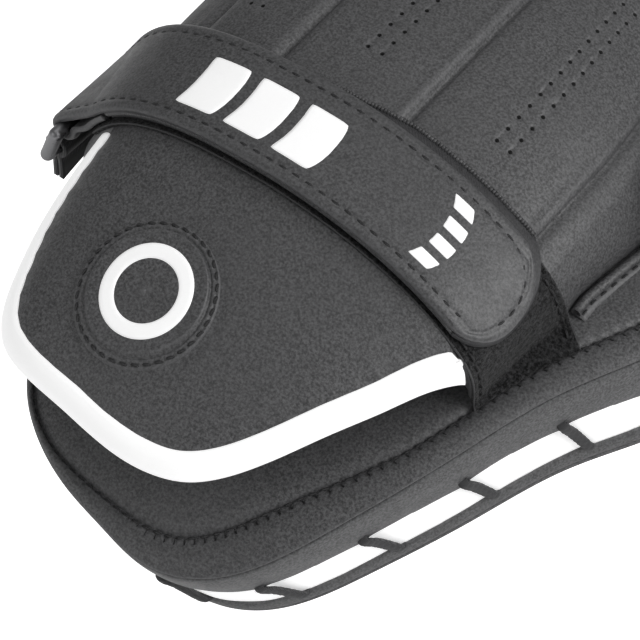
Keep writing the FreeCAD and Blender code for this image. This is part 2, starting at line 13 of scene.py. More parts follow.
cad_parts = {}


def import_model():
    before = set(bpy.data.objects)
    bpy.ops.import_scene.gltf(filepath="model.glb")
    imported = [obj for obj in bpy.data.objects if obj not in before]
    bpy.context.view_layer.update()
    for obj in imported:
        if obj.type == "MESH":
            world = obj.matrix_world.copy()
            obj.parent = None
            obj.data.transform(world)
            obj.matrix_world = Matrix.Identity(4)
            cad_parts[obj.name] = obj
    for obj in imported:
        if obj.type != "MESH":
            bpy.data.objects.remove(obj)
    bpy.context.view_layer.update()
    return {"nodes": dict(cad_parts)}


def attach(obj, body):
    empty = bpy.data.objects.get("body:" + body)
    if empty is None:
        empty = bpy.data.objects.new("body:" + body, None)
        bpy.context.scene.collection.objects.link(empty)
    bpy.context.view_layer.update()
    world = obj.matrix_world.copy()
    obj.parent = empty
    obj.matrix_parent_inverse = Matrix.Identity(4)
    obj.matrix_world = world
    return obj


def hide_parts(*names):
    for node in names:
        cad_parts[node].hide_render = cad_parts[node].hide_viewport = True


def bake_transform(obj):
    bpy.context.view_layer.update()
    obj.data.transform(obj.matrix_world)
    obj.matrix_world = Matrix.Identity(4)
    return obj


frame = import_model()

MM = 0.001
DEG = math.pi / 180.0

# ---------------------------------------------------------------- driving dimensions
BEND_R = 240.0                    # radius of the pad's level 0
BEND_TOP = 33.2                   # z of level 0 on the middle line
BEND_Z = BEND_TOP - BEND_R        # z of the bend axis
BACK_LEVEL = 41.0                 # level of the back panel

# flat pad outline, counter-clockwise seen from +Z: (x, distance round the bend)
EDGE = np.array([
    (0, -124.3), (14, -126.6), (26.5, -125.2), (38.3, -119.2), (55.6, -97.7), (70.1, -71.6),
    (82.1, -46.5), (96.3, -23.6), (105.1, 0.5), (109.3, 25.9), (107.5, 51), (99, 78),
    (82.5, 103), (60, 121), (38, 130.5), (16, 134), (-6, 133), (-28, 127), (-47, 115),
    (-60, 98), (-69, 76), (-73.5, 50), (-74, 26), (-72, 2), (-68, -23), (-63, -46),
    (-57, -67), (-50, -86), (-43.5, -100.5), (-36, -110), (-26, -116.6), (-14, -121.2)], float)

# arch stations: (y, centre x, thumb side half width, crown z, far side half width)
HOOD = np.array([
    (-90, -2, 75, 103.9, 57), (-73.5, -1, 75, 108.4, 57.5), (-55, 0, 75, 111.4, 60),
    (-35, 0, 75, 113.4, 63), (0, 0, 74, 115.4, 63), (30, 0, 69, 113.9, 60),
    (60, 0, 62, 106.4, 55), (85, 0, 53, 93.4, 47), (105, 0, 42, 75.4, 38),
    (118, 0, 31, 58.9, 29)], float)
CUFF = np.array([
    (-142, -3, 64, 72.4, 50), (-134, -3, 66, 77.4, 52), (-120, -3, 69, 85.9, 54),
    (-100, -2.5, 72, 96.4, 55.5), (-85, -2, 74, 103.2, 57), (-74.4, -1, 75, 108.0, 57.5),
    (-70, -1, 75, 109.4, 58)], float)
THUMB = np.array([
    (2, 84, 17.0, 101.4, 17.0), (20, 85, 17.0, 103.9, 17.0), (40, 84.5, 16.0, 101.9, 16.0),
    (58, 82, 14.0, 93.4, 14.0), (70, 79.5, 11.0, 82.4, 11.0)], float)
FAR_POWER = 2.6                   # superellipse power of the far side; 2 is round
CUFF_RISE = 40.0                  # height of the cuff arch above its own base


# ---------------------------------------------------------------- curves
def xyz(x, y, z):
    return np.stack(np.broadcast_arrays(x, y, z), -1)


def run_length(points):
    """Distance travelled at each point of a path."""
    return np.r_[0, np.cumsum(np.linalg.norm(np.diff(points, axis=0), axis=1))]


def sample(at, run, values):
    """Columns of values interpolated at given distances."""
    return np.stack([np.interp(at, run, values[:, k]) for k in range(values.shape[1])], 1)


def resample(points, count):
    run = run_length(points)
    return sample(np.linspace(0, run[-1], count), run, points)


def relax(points, passes):
    """Smooth a path in place, ends held."""
    for _ in range(passes):
        points[1:-1] = 0.25 * points[:-2] + 0.5 * points[1:-1] + 0.25 * points[2:]


def cubic_spline(points, count, closed=False):
    """Cubic spline through plan points: periodic when closed, otherwise natural."""
    if closed:
        points = np.vstack([points, points[:1]])
    knots = run_length(points)
    gaps = np.diff(knots)
    m = len(points) - 1 if closed else len(points)
    matrix = np.zeros((m, m)) if closed else np.eye(m)
    right = np.zeros((m, 2))
    for i in (range(m) if closed else range(1, m - 1)):
        before, after = gaps[i - 1], gaps[i]
        matrix[i, i - 1] = before
        matrix[i, i] = 2 * (before + after)
        matrix[i, (i + 1) % m] = after
        right[i] = 6 * ((points[i + 1] - points[i]) / after
                        - (points[i] - points[(i - 1) % m]) / before)
    curve = np.linalg.solve(matrix, right)
    if closed:
        curve = np.vstack([curve, curve[:1]])
    at = np.linspace(0, knots[-1], count, endpoint=not closed)
    k = np.clip(np.searchsorted(knots, at, side="right") - 1, 0, len(points) - 2)
    gap = gaps[k][:, None]
    left = (knots[k + 1] - at)[:, None]
    done = (at - knots[k])[:, None]
    return ((curve[k] * left ** 3 + curve[k + 1] * done ** 3) / (6 * gap)
            + (points[k] / gap - curve[k] * gap / 6) * left
            + (points[k + 1] / gap - curve[k + 1] * gap / 6) * done)


def catmull_rom(points, steps):
    """Curve through control points of any shape, with a number of steps per span."""
    out = []
    last = len(points) - 1
    for i in range(last):
        p0, p1, p2, p3 = (points[j] for j in (max(i - 1, 0), i, i + 1, min(i + 2, last)))
        for k in range(steps):
            t = k / steps
            out.append(0.5 * (2 * p1 + (p2 - p0) * t + (2 * p0 - 5 * p1 + 4 * p2 - p3) * t ** 2
                              + (-p0 + 3 * p1 - 3 * p2 + p3) * t ** 3))
    out.append(points[-1])
    return np.array(out)


def smoothstep(f):
    return f * f * (3 - 2 * f)


def hash_noise(value, seed):
    value = np.sin(value + seed * 311.7) * 43758.5453
    return 2 * (value - np.floor(value)) - 1


def noise1(x, seed):
    """Smooth repeatable noise in -1..1 along a line."""
    cell = np.floor(x)
    f = smoothstep(x - cell)
    return hash_noise(cell * 127.1, seed) * (1 - f) + hash_noise((cell + 1) * 127.1, seed) * f


def noise2(x, y, seed):
    """Smooth repeatable noise in -1..1 over a plane."""
    ix, iy = np.floor(x), np.floor(y)
    fx, fy = smoothstep(x - ix), smoothstep(y - iy)

    def corner(a, b):
        return hash_noise(a * 127.1 + b * 269.5, seed)
    return ((corner(ix, iy) * (1 - fx) + corner(ix + 1, iy) * fx) * (1 - fy)
            + (corner(ix, iy + 1) * (1 - fx) + corner(ix + 1, iy + 1) * fx) * fy)


def circle(count):
    return np.linspace(0, 2 * math.pi, count, endpoint=False)


def polar_grid(radii, count):
    """Radius, x and y over a disc, indexed [angle, radius]."""
    angle, radius = np.meshgrid(circle(count), radii, indexing="ij")
    return radius, radius * np.cos(angle), radius * np.sin(angle)


# ---------------------------------------------------------------- bent pad frame
OUTLINE = cubic_spline(EDGE, 3000, closed=True)
OUTLINE = np.vstack([OUTLINE, OUTLINE[:1]])
OUTLINE_RUN = run_length(OUTLINE)
PERIMETER = float(OUTLINE_RUN[-1])


def edge(arc):
    """Outline x and s, and the unit tangent, at an arc length."""
    def at(run):
        run = np.mod(run, PERIMETER)
        return [np.interp(run, OUTLINE_RUN, OUTLINE[:, k]) for k in (0, 1)]
    half = 1.5                    # half span of the tangent
    (x, s), (x0, s0), (x1, s1) = at(arc), at(arc - half), at(arc + half)
    length = np.hypot(x1 - x0, s1 - s0)
    return x, s, (x1 - x0) / length, (s1 - s0) / length


def bent(x, s, level):
    """Point at flat place (x, s), a level above the bend radius."""
    angle = s / BEND_R
    return xyz(x, (BEND_R + level) * np.sin(angle), (BEND_R + level) * np.cos(angle) + BEND_Z)


def rim(arc, inset, level):
    """Point a distance inside the outline; a negative inset is outside."""
    x, s, tx, ts = edge(arc)
    return bent(x - inset * ts, s + inset * tx, level)


def rim_up(arc, share):
    """Outward direction at the edge mixed with a share of the pad normal."""
    x, s, tx, ts = edge(arc)
    out = bent(x + ts, s - tx, 20.0) - bent(x, s, 20.0)
    out /= np.linalg.norm(out, axis=-1, keepdims=True)
    return out * (1 - share) + xyz(0.0, np.sin(s / BEND_R), np.cos(s / BEND_R)) * share


def pad_top(y, level=BACK_LEVEL):
    return np.sqrt((BEND_R + level) ** 2 - np.asarray(y, float) ** 2) + BEND_Z


# ---------------------------------------------------------------- arches
def stations(table, y):
    """Columns of a station table at y, by smooth (Hermite) interpolation."""
    y = np.asarray(y, float)
    n = len(table)
    low, high = np.maximum(np.arange(n) - 1, 0), np.minimum(np.arange(n) + 1, n - 1)
    slope = (table[high, 1:] - table[low, 1:]) / (table[high, :1] - table[low, :1])
    i = np.clip(np.searchsorted(table[:, 0], y, side="right") - 1, 0, n - 2)
    gap = table[i + 1, 0] - table[i, 0]
    f = ((y - table[i, 0]) / gap)[..., None]
    gap = gap[..., None]
    values = ((2 * f ** 3 - 3 * f ** 2 + 1) * table[i, 1:]
              + (f ** 3 - 2 * f ** 2 + f) * slope[i] * gap
              + (-2 * f ** 3 + 3 * f ** 2) * table[i + 1, 1:]
              + (f ** 3 - f ** 2) * slope[i + 1] * gap)
    return np.moveaxis(values, -1, 0)


def arch_base(y):
    """Base of the hand cover and thumb sleeve, just inside the back panel."""
    return pad_top(y) - 0.5


def arch(table, y, phi, out, far_power):
    """Arch point: phi 0 on the +X side, pi on the -X side, out is the offset outward."""
    y, phi, out = np.broadcast_arrays(np.asarray(y, float), phi, out)
    centre, near, crown, far = stations(table, y)
    base = arch_base(y)
    cosine, sine = np.cos(phi), np.sin(phi)
    far_side = cosine < 0
    power = np.where(far_side, 2.0 / far_power, 1.0)
    dx = np.where(far_side, -(far + out), near + out) * np.abs(cosine) ** power
    return xyz(centre + dx, y, base + (crown - base + out) * sine ** power)


def hood(y, phi, out):
    return arch(HOOD, y, phi, out, FAR_POWER)


def cuff_z(x, y, out):
    """Height of the cuff arch over a plan point."""
    centre, near, crown, far = stations(CUFF, y)
    far_side = x < centre
    power = np.where(far_side, FAR_POWER, 2.0)
    r = np.clip(np.abs(x - centre) / (np.where(far_side, far, near) + out), 0, 0.9999)
    return crown - CUFF_RISE + (CUFF_RISE + out) * (1 - r ** power) ** (1 / power)


def cuff_xy(x, y, out):
    return xyz(x, y, cuff_z(x, y, out))


# ---------------------------------------------------------------- mesh helpers
def make(name, shape, materials, replaces=None, body="pad", face_materials=None):
    """Smooth-shaded object from (vertices in mm, faces), attached to its body when one is given
    and hiding the CAD part it replaces.
    """
    verts, faces = shape
    mesh = bpy.data.meshes.new(name)
    verts = np.asarray(verts, float).reshape(-1, 3) * MM
    mesh.from_pydata(verts.tolist(), [], [tuple(int(i) for i in f) for f in faces])
    mesh.validate(verbose=False)
    for material in (materials if isinstance(materials, list) else [materials]):
        mesh.materials.append(material)
    # validate may drop faces, and then the list no longer fits
    if face_materials is not None and len(face_materials) == len(mesh.polygons):
        mesh.polygons.foreach_set("material_index", np.asarray(face_materials, np.int32))
    mesh.polygons.foreach_set("use_smooth", np.full(len(mesh.polygons), True))
    mesh.update()
    obj = bpy.data.objects.new(name, mesh)
    bpy.context.scene.collection.objects.link(obj)
    if body:
        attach(obj, body)
    if replaces:
        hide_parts(replaces)
    return obj


def quads(nu, nv, around_u=False, around_v=False, flip=False, base=0):
    iu = np.arange(nu if around_u else nu - 1)
    iv = np.arange(nv if around_v else nv - 1)
    a, b = np.meshgrid(iu, iv, indexing="ij")
    a2, b2 = (a + 1) % nu, (b + 1) % nv
    f = np.stack([a * nv + b, a2 * nv + b, a2 * nv + b2, a * nv + b2], -1).reshape(-1, 4)
    return (f[:, ::-1] if flip else f) + base


def grid_normals(grid, around=False):
    if around:
        du = np.roll(grid, -1, 0) - np.roll(grid, 1, 0)
    else:
        du = np.gradient(grid, axis=0)
    n = np.cross(du, np.gradient(grid, axis=1))
    return n / np.maximum(np.linalg.norm(n, axis=-1, keepdims=True), 1e-9)


def outward(grid, ref, around=False):
    """True when the grid normals point away from ref."""
    return float(np.sum(grid_normals(grid, around) * (grid - np.asarray(ref, float)))) > 0


def shell(outer, inner, around=False):
    """Closed body between two grids of the same shape; outer faces out."""
    nu, nv = outer.shape[:2]
    n = nu * nv
    ids = np.arange(n).reshape(nu, nv)

    def strip(line, flip):
        a, b = line[:-1], line[1:]
        f = np.stack([a, b, b + n, a + n], -1)
        return f[:, ::-1] if flip else f
    faces = [quads(nu, nv, around), quads(nu, nv, around, flip=True, base=n)]
    first, last = ids[:, 0], ids[:, -1]
    if around:
        first, last = np.r_[first, first[0]], np.r_[last, last[0]]
    else:
        faces += [strip(ids[0, :], False), strip(ids[-1, :], True)]
    faces += [strip(first, True), strip(last, False)]
    return np.concatenate([outer.reshape(-1, 3), inner.reshape(-1, 3)]), np.concatenate(faces)


def slab(outer, inner, ref, around=False, axis=1):
    """Shell with its outer grid turned to face away from ref."""
    if not outward(outer, ref, around):
        outer, inner = np.flip(outer, axis), np.flip(inner, axis)
    return shell(outer, inner, around)


def slab_facing(outer, inner, directions):
    """Shell with its outer grid turned to agree with direction vectors."""
    if np.sum(grid_normals(outer) * directions) < 0:
        outer, inner = outer[:, ::-1], inner[:, ::-1]
    return shell(outer, inner)


def skin(name, grid, material, replaces, thick, ref=(0, 0, 20)):
    """Closed leather ring: the seen surface and a copy set back by its thickness."""
    if not outward(grid, ref, True):
        grid = grid[:, ::-1]
    inner = grid - grid_normals(grid, True) * thick
    make(name, shell(grid, inner, True), material, replaces)


def path_frame(path, up):
    """Side and up vectors along a path; up is a rough normal, one or one per point."""
    tangent = np.gradient(path, axis=0)
    tangent /= np.linalg.norm(tangent, axis=1, keepdims=True) + 1e-12
    up = up - tangent * np.sum(up * tangent, 1, keepdims=True)
    up /= np.linalg.norm(up, axis=1, keepdims=True) + 1e-12
    return np.cross(tangent, up), up


def sweep(path, up, up_radius, side_radius, angles):
    """Capped tube; radii are arrays that broadcast to [path, angle]."""
    side, up = path_frame(path, up)
    grid = (path[:, None] + up[:, None] * (up_radius * np.sin(angles))[..., None]
            + side[:, None] * (side_radius * np.cos(angles))[..., None])
    n, seg = len(path), len(angles)
    faces = [tuple(f) for f in quads(n, seg, around_v=True, flip=True)]
    start, end, ring = n * seg, n * seg + 1, (n - 1) * seg
    for k in range(seg):
        after = (k + 1) % seg
        faces += [(start, k, after), (end, ring + after, ring + k)]
    return np.vstack([grid.reshape(-1, 3), path[:1], path[-1:]]), faces


def tube(path, up, up_radius, side_radius, seg):
    n = len(path)
    radii = [np.broadcast_to(r, (n,))[:, None] for r in (up_radius, side_radius)]
    return sweep(path, up, *radii, circle(seg))


def join(parts):
    verts, faces, base = [], [], 0
    for part_verts, part_faces in parts:
        verts.append(part_verts)
        faces += [tuple(int(i) + base for i in f) for f in part_faces]
        base += len(part_verts)
    return np.vstack(verts), faces


def stitches(path, up, length=3.3, gap=1.25, radius=0.42, lift=0.12, closed=False, slant=0.0):
    """A row of sewn thread pieces, each dipping into its holes at both ends."""
    up = np.broadcast_to(up, path.shape)
    if closed:
        path, up = np.vstack([path, path[:1]]), np.vstack([up, up[:1]])
    run = run_length(path)
    pitch = length + gap
    count = max(1, int(run[-1] / pitch))
    if closed:
        count = int(round(run[-1] / pitch))
        pitch = run[-1] / count
    f = np.linspace(-1, 1, 7)
    bow = np.sqrt(np.clip(1 - f ** 2 * 0.96, 0, 1))
    rise = ((lift + radius * 0.35) * bow - 0.45 * (1 - bow))[:, None]
    parts = []
    for k in range(count):
        at = k * pitch + gap / 2 + np.linspace(0, 1, 7) * (pitch - gap)
        line = sample(at, run, path)
        side, normal = path_frame(line, sample(at, run, up))
        line = line + normal * rise + side * (slant * f)[:, None]
        parts.append(tube(line, normal, radius * (0.45 + 0.55 * bow),
                          radius * (0.5 + 0.5 * bow), 6))
    return join(parts)


# ---------------------------------------------------------------- materials
def new_material(name):
    """Material with a Principled shader; returns it, its tree, the shader and coordinates."""
    material = bpy.data.materials.new(name)
    material.use_nodes = True
    tree = material.node_tree
    tree.nodes.clear()
    output = tree.nodes.new("ShaderNodeOutputMaterial")
    shader = tree.nodes.new("ShaderNodeBsdfPrincipled")
    tree.links.new(shader.outputs[0], output.inputs[0])
    coords = tree.nodes.new("ShaderNodeTexCoord").outputs["Object"]
    return material, tree, shader, coords


def texture(tree, kind, coords, **values):
    node = tree.nodes.new("ShaderNodeTex" + kind)
    for key, value in values.items():
        node.inputs[key].default_value = value
    tree.links.new(coords, node.inputs["Vector"])
    return node


def bump(tree, height, strength, distance, normal=None):
    node = tree.nodes.new("ShaderNodeBump")
    node.inputs["Strength"].default_value = strength
    node.inputs["Distance"].default_value = distance
    tree.links.new(height, node.inputs["Height"])
    if normal:
        tree.links.new(normal, node.inputs["Normal"])
    return node.outputs[0]


def mix(tree, first, second, factor):
    """Colour mix; first may be a colour or a socket."""
    node = tree.nodes.new("ShaderNodeMix")
    node.data_type = "RGBA"
    factor_in, first_in, second_in = (node.inputs[k] for k in (0, 6, 7))
    if isinstance(first, bpy.types.NodeSocket):
        tree.links.new(first, first_in)
    else:
        first_in.default_value = first
    second_in.default_value = second
    tree.links.new(factor, factor_in)
    return node.outputs[2]


def map_range(tree, value, source, target):
    node = tree.nodes.new("ShaderNodeMapRange")
    tree.links.new(value, node.inputs[0])
    for k, limit in enumerate((*source, *target)):
        node.inputs[k + 1].default_value = limit
    return node.outputs[0]


def rgba(colour, gain=1.0):
    return (*(np.asarray(colour, float) * gain), 1.0)


def leather(name, colour, rough, grain=1500.0, grain_height=0.00007, speck=0.35, ridge_highlight=0.5,
            glow=0.0):
    """Grained leather: speck is colour contrast; ridges get a painted highlight; glow is painted
    emission.
    """
    material, tree, shader, coords = new_material(name)
    link = tree.links.new
    cells = texture(tree, "Voronoi", coords, Scale=grain)
    cells.feature = "SMOOTH_F1"
    fine = texture(tree, "Noise", coords, Scale=grain * 0.95, Detail=3.0, Roughness=0.65)
    medium = texture(tree, "Noise", coords, Scale=210.0, Detail=4.0, Roughness=0.55)
    broad = texture(tree, "Noise", coords, Scale=28.0, Detail=3.0, Roughness=0.5)
    normal = bump(tree, cells.outputs["Distance"], strength=0.9, distance=grain_height)
    normal = bump(tree, fine.outputs[0], 0.8, grain_height * 0.7, normal)
    normal = bump(tree, medium.outputs[0], strength=0.7, distance=0.00016, normal=normal)
    link(normal, shader.inputs["Normal"])
    factor = map_range(tree, fine.outputs[0], (0.36, 0.64), (0.0, 1.0))
    shade = mix(tree, rgba(colour, 1 - speck), rgba(colour, 1 + speck * 1.6), factor)
    factor = map_range(tree, broad.outputs[0], (0.3, 0.7), (0.0, 0.35))
    shade = mix(tree, shade, rgba(colour, 1.12), factor)
    # painted highlight: convex ridges, found by pointiness, are mixed towards a lighter colour
    # as if they caught the light
    geometry = tree.nodes.new("ShaderNodeNewGeometry")
    factor = map_range(tree, geometry.outputs["Pointiness"], (0.505, 0.56), (0.0, ridge_highlight))
    ridge_highlight_colour = np.minimum(np.array(colour) * 1.9 + 0.01, 1)
    link(mix(tree, shade, rgba(ridge_highlight_colour), factor), shader.inputs["Base Color"])
    gloss = map_range(tree, medium.outputs[0], (0.3, 0.7), (rough - 0.06, rough + 0.07))
    link(gloss, shader.inputs["Roughness"])
    # painted brightness: white leather and print film glow though they are no lamp, washing out
    # their shading
    if glow:
        shader.inputs["Emission Color"].default_value = (1, 1, 1, 1)
        shader.inputs["Emission Strength"].default_value = glow
    return material


def woven(name, colour, scale):
    material, tree, shader, coords = new_material(name)
    waves = [texture(tree, "Wave", coords, Scale=scale, Distortion=0.6, Detail=1.0)
             for _ in range(2)]
    product = tree.nodes.new("ShaderNodeMath")
    product.operation = "MULTIPLY"
    for k, direction in enumerate("XY"):
        waves[k].bands_direction = direction
        tree.links.new(waves[k].outputs[1], product.inputs[k])
    weave = product.outputs[0]
    tree.links.new(bump(tree, weave, strength=0.9, distance=0.00012), shader.inputs["Normal"])
    factor = map_range(tree, weave, (0.0, 0.6), (0.0, 1.0))
    tree.links.new(mix(tree, rgba(colour, 0.45), rgba(colour, 1.4), factor),
                   shader.inputs["Base Color"])
    shader.inputs["Roughness"].default_value = 0.85
    shader.inputs["Sheen Weight"].default_value = 0.3
    return material


def pile(name, colour):
    material, tree, shader, coords = new_material(name)
    fine = texture(tree, "Noise", coords, Scale=1150.0, Detail=5.0, Roughness=0.75)
    tufts = texture(tree, "Noise", coords, Scale=320.0, Detail=4.0, Roughness=0.65)
    normal = bump(tree, fine.outputs[0], strength=1.0, distance=0.0005)
    normal = bump(tree, tufts.outputs[0], strength=1.0, distance=0.0008, normal=normal)
    tree.links.new(normal, shader.inputs["Normal"])
    factor = map_range(tree, fine.outputs[0], (0.42, 0.64), (0.0, 1.0))
    tree.links.new(mix(tree, rgba(colour, 0.25), rgba(colour, 3.6), factor),
                   shader.inputs["Base Color"])
    shader.inputs["Roughness"].default_value = 0.95
    shader.inputs["Sheen Weight"].default_value = 0.10
    shader.inputs["Sheen Roughness"].default_value = 0.5
    shader.inputs["Specular IOR Level"].default_value = 0.15
    return material


def thread(name, colour, rough=0.6):
    material, tree, shader, coords = new_material(name)
    wave = texture(tree, "Wave", coords, Scale=1300.0, Distortion=1.5, Detail=2.0)
    wave.bands_direction = "DIAGONAL"
    twist = wave.outputs[1]
    tree.links.new(bump(tree, twist, strength=0.8, distance=0.00012), shader.inputs["Normal"])
    tree.links.new(mix(tree, rgba(colour, 0.6), rgba(colour, 1.6), twist),
                   shader.inputs["Base Color"])
    shader.inputs["Roughness"].default_value = rough
    return material


def metal(name, colour, rough):
    material, tree, shader, coords = new_material(name)
    noise = texture(tree, "Noise", coords, Scale=900.0, Detail=4.0).outputs[0]
    gloss = map_range(tree, noise, (0.3, 0.7), (rough - 0.1, rough + 0.12))
    tree.links.new(gloss, shader.inputs["Roughness"])
    tree.links.new(bump(tree, noise, strength=0.3, distance=0.00004), shader.inputs["Normal"])
    tree.links.new(mix(tree, rgba(colour, 0.75), rgba(colour), noise),
                   shader.inputs["Base Color"])
    shader.inputs["Metallic"].default_value = 1.0
    return material


def foam(name, colour):
    material, tree, shader, coords = new_material(name)
    cells = texture(tree, "Voronoi", coords, Scale=900.0).outputs["Distance"]
    tree.links.new(bump(tree, cells, strength=0.6, distance=0.0002), shader.inputs["Normal"])
    tree.links.new(mix(tree, rgba(colour, 0.7), rgba(colour, 1.2), cells),
                   shader.inputs["Base Color"])
    shader.inputs["Roughness"].default_value = 0.9
    return material


LEATHER = leather("pu_leather_black", (0.066, 0.066, 0.068), rough=0.50, speck=0.55)
STRAP_LEATHER = leather("pu_leather_strap", (0.060, 0.060, 0.062), rough=0.46, grain=1450.0,
                        speck=0.5)
# the glow on white leather and print film is painted brightness that washes out their shading
WHITE = leather("pu_leather_white", (0.92, 0.92, 0.92), rough=0.42, speck=0.02, ridge_highlight=0.0,
                grain_height=0.00003, glow=0.34)
LINING = woven("mesh_lining", (0.035, 0.035, 0.037), scale=420.0)
VELOUR = pile("loop_pile", (0.014, 0.014, 0.0145))
HOOK = pile("hook_pile", (0.016, 0.016, 0.017))
CORD = thread("braided_cord", (0.030, 0.030, 0.032))
THREAD = thread("sewing_thread", (0.018, 0.018, 0.019), rough=0.55)
PRINT = leather("print_film_white", (0.90, 0.90, 0.90), rough=0.45, speck=0.02, ridge_highlight=0.0,
                grain_height=0.00002, glow=0.30)
METAL = metal("dark_nickel", (0.30, 0.30, 0.31), rough=0.35)
FOAM = foam("closed_cell_foam", (0.12, 0.12, 0.125))
# near-black painted shade for the air hole pits and the lace slits
HOLE_SHADE = foam("hole_shadow", (0.006, 0.006, 0.006))
GEL = foam("gel_sheet", (0.10, 0.12, 0.16))
BACKING = leather("strap_backing_skin", (0.030, 0.030, 0.032), rough=0.6, ridge_highlight=0.3)
WEBBING = woven("webbing", (0.03, 0.03, 0.032), scale=520.0)
SELVEDGE = thread("tape_selvedge", (0.055, 0.055, 0.057), rough=0.7)


# ---------------------------------------------------------------- pad skins
LACES = 26
LACE_PITCH = PERIMETER / LACES
LACE_START = 17.8
RIM_STEPS = 1008
ARC = np.linspace(0, PERIMETER, RIM_STEPS, endpoint=False)
STITCH_COUNT = int(round(PERIMETER / 3.3))
SEAM_INSET = 8.9                  # usual distance of the back seam from the edge

# back seam: (arc length, distance from the edge); thin at the far side of the wrist end
BACK_SEAM = np.array([
    (0, 5.0), (5.4, 5.8), (10.4, 6.6), (16.5, 7.5), (23.6, 8.4), (30.7, 9.4), (37, 10.3),
    (44.2, 11.0), (52.7, 11.5), (62.2, 10.9), (74.6, 9.2), (87.8, 7.6), (101.6, 7.4),
    (118, 8.0), (134, 8.6), (150, 9.0), (200, SEAM_INSET), (560, SEAM_INSET), (620, 6.0),
    (655, 2.6), (672, 1.7), (683, 2.1), (690, 2.9), (696, 3.7), (703, 4.4),
    (PERIMETER, 5.0)])


def seam_inset(arc):
    return np.interp(np.mod(arc, PERIMETER), BACK_SEAM[:, 0], BACK_SEAM[:, 1])


INSET = seam_inset(ARC)           # the same, smoothed, at each rim step
for _ in range(12):
    INSET = 0.25 * np.roll(INSET, 1) + 0.5 * INSET + 0.25 * np.roll(INSET, -1)


def smooth_inset(arc):
    return np.interp(arc, np.r_[ARC, PERIMETER], np.r_[INSET, INSET[0]])


# 0 in each stitch, 1 between
PUCKER = 0.5 - 0.5 * np.cos(2 * math.pi * ARC / (PERIMETER / STITCH_COUNT))
WAVE = noise1(ARC / 9.0, seed=11) * 0.25


def pinch(start, amount):
    """Pull at each lace: long tail before it, short after it."""
    half = LACE_PITCH / 2
    u = np.mod(ARC - LACE_START - start + half, LACE_PITCH) - half
    return amount * np.where(u < 0, np.exp(u / 8.0), np.exp(-u / 0.9))


def press_flat(grid):
    """Leather pressed flat on the rest plane, in place."""
    z = grid[..., 2]
    soft = 0.02 + (z + 1.2) ** 2 / 4.8 * 0.97
    grid[..., 2] = np.where(z < 1.2, np.where(z > -1.2, soft, 0.02), z)
    return grid


def rim_grid(section):
    """(inset, level) pairs, numbers or arrays, carried round the edge: [arc, section]."""
    return press_flat(np.stack([rim(ARC, inset, level) for inset, level in section], 1))


def rolled_grid(controls):
    """Rim grid through control pairs with a smooth section."""
    pairs = np.array([[inset + 0 * ARC, level + 0 * ARC] for inset, level in controls])
    return rim_grid(catmull_rom(pairs, 3))


def side_band():
    """White recessed band, slightly stuffed."""
    levels = np.linspace(4.6, 26.5, 17)
    insets = np.interp(levels, [4.6, 6.5, 8.5, 12.0, 16.0, 20.0, 23.0, 26.5],
                       [1.7, 0.95, 0.55, 0.4, 0.65, 1.15, 1.6, 2.4])
    ripple = 0.08 * noise1(ARC / 7.0, seed=21)
    grid = rim_grid([(inset + ripple, level) for inset, level in zip(insets, levels)])
    skin("side_band_leather", grid, WHITE, "side_band", thick=0.9)


def shoulder_roll():
    """From the back seam over the stuffed edge to the shoulder seam."""
    scale = INSET / SEAM_INSET
    slow = noise1(ARC / 17.0, seed=3) * 0.35 + noise1(ARC / 6.0, seed=5) * 0.15
    grid = rolled_grid([
        (INSET + 1.1, 38.6), (INSET + 0.2, 39.35), (INSET - 0.3, 39.75 + 0.28 * PUCKER),
        (INSET - 1.0 * scale, 40.2 + 0.34 * PUCKER),
        (6.4 * scale, 40.75 + 0.12 * PUCKER + slow * 0.4), (4.2 * scale, 40.9 + slow * 0.6),
        (2.1 * scale, 40.5 + slow * 0.5), (0.8 * scale - slow * 0.3, 39.95),
        (-0.15, 39.35), (0.05, 38.85), (0.9, 38.45)])
    skin("shoulder_roll_leather", grid, LEATHER, "bolster_roll", thick=0.9)


def side_wall():
    """From the shoulder seam to the free scalloped edge over the white band."""
    dip = pinch(-0.9, 1.7)
    free = 23.0 - dip + WAVE
    grid = rolled_grid([
        (1.1, 38.3), (0.15, 38.25), (-0.5, 37.75), (-0.8, 36.0), (-0.95 + WAVE * 0.5, 33.0),
        (-0.9, 29.5 - dip * 0.3), (-0.6, 26.5 - dip * 0.7), (-0.25, free + 1.2),
        (0.05, free + 0.1), (0.75, free - 0.35), (1.5, free + 0.1), (2.0, free + 1.6),
        (2.6, free + 4.0)])
    skin("side_wall_leather", grid, LEATHER, "upper_rim_band", thick=0.5)


def lower_rim():
    """Rolled free edge and a short wall down to the rim seam."""
    free = 7.1 + pinch(4.2, 1.2) + WAVE * 0.6
    grid = rolled_grid([
        (2.3, free - 3.0), (1.5, free - 1.4), (0.9, free - 0.25), (0.4, free + 0.05),
        (-0.05, free - 0.2), (-0.35, free - 1.0), (-0.55, free * 0.45 + 1.6), (-0.5, 3.6),
        (-0.15, 2.95), (0.35, 2.6)])
    skin("lower_rim_leather", grid, LEATHER, "lower_rim_band", thick=0.5)


def plate(inset, level, shrink):
    """Rings from an inset line shrinking to the middle; level is a function of t, x, s."""
    centre_x, centre_s = 15.0, 6.0
    x, s, tx, ts = edge(ARC)
    x, s = x - inset * ts, s + inset * tx
    rows = []
    for t in shrink:
        ring_x, ring_s = centre_x + (x - centre_x) * t, centre_s + (s - centre_s) * t
        rows.append(bent(ring_x, ring_s, level(t, ring_x, ring_s)))
    return np.stack(rows, 1)


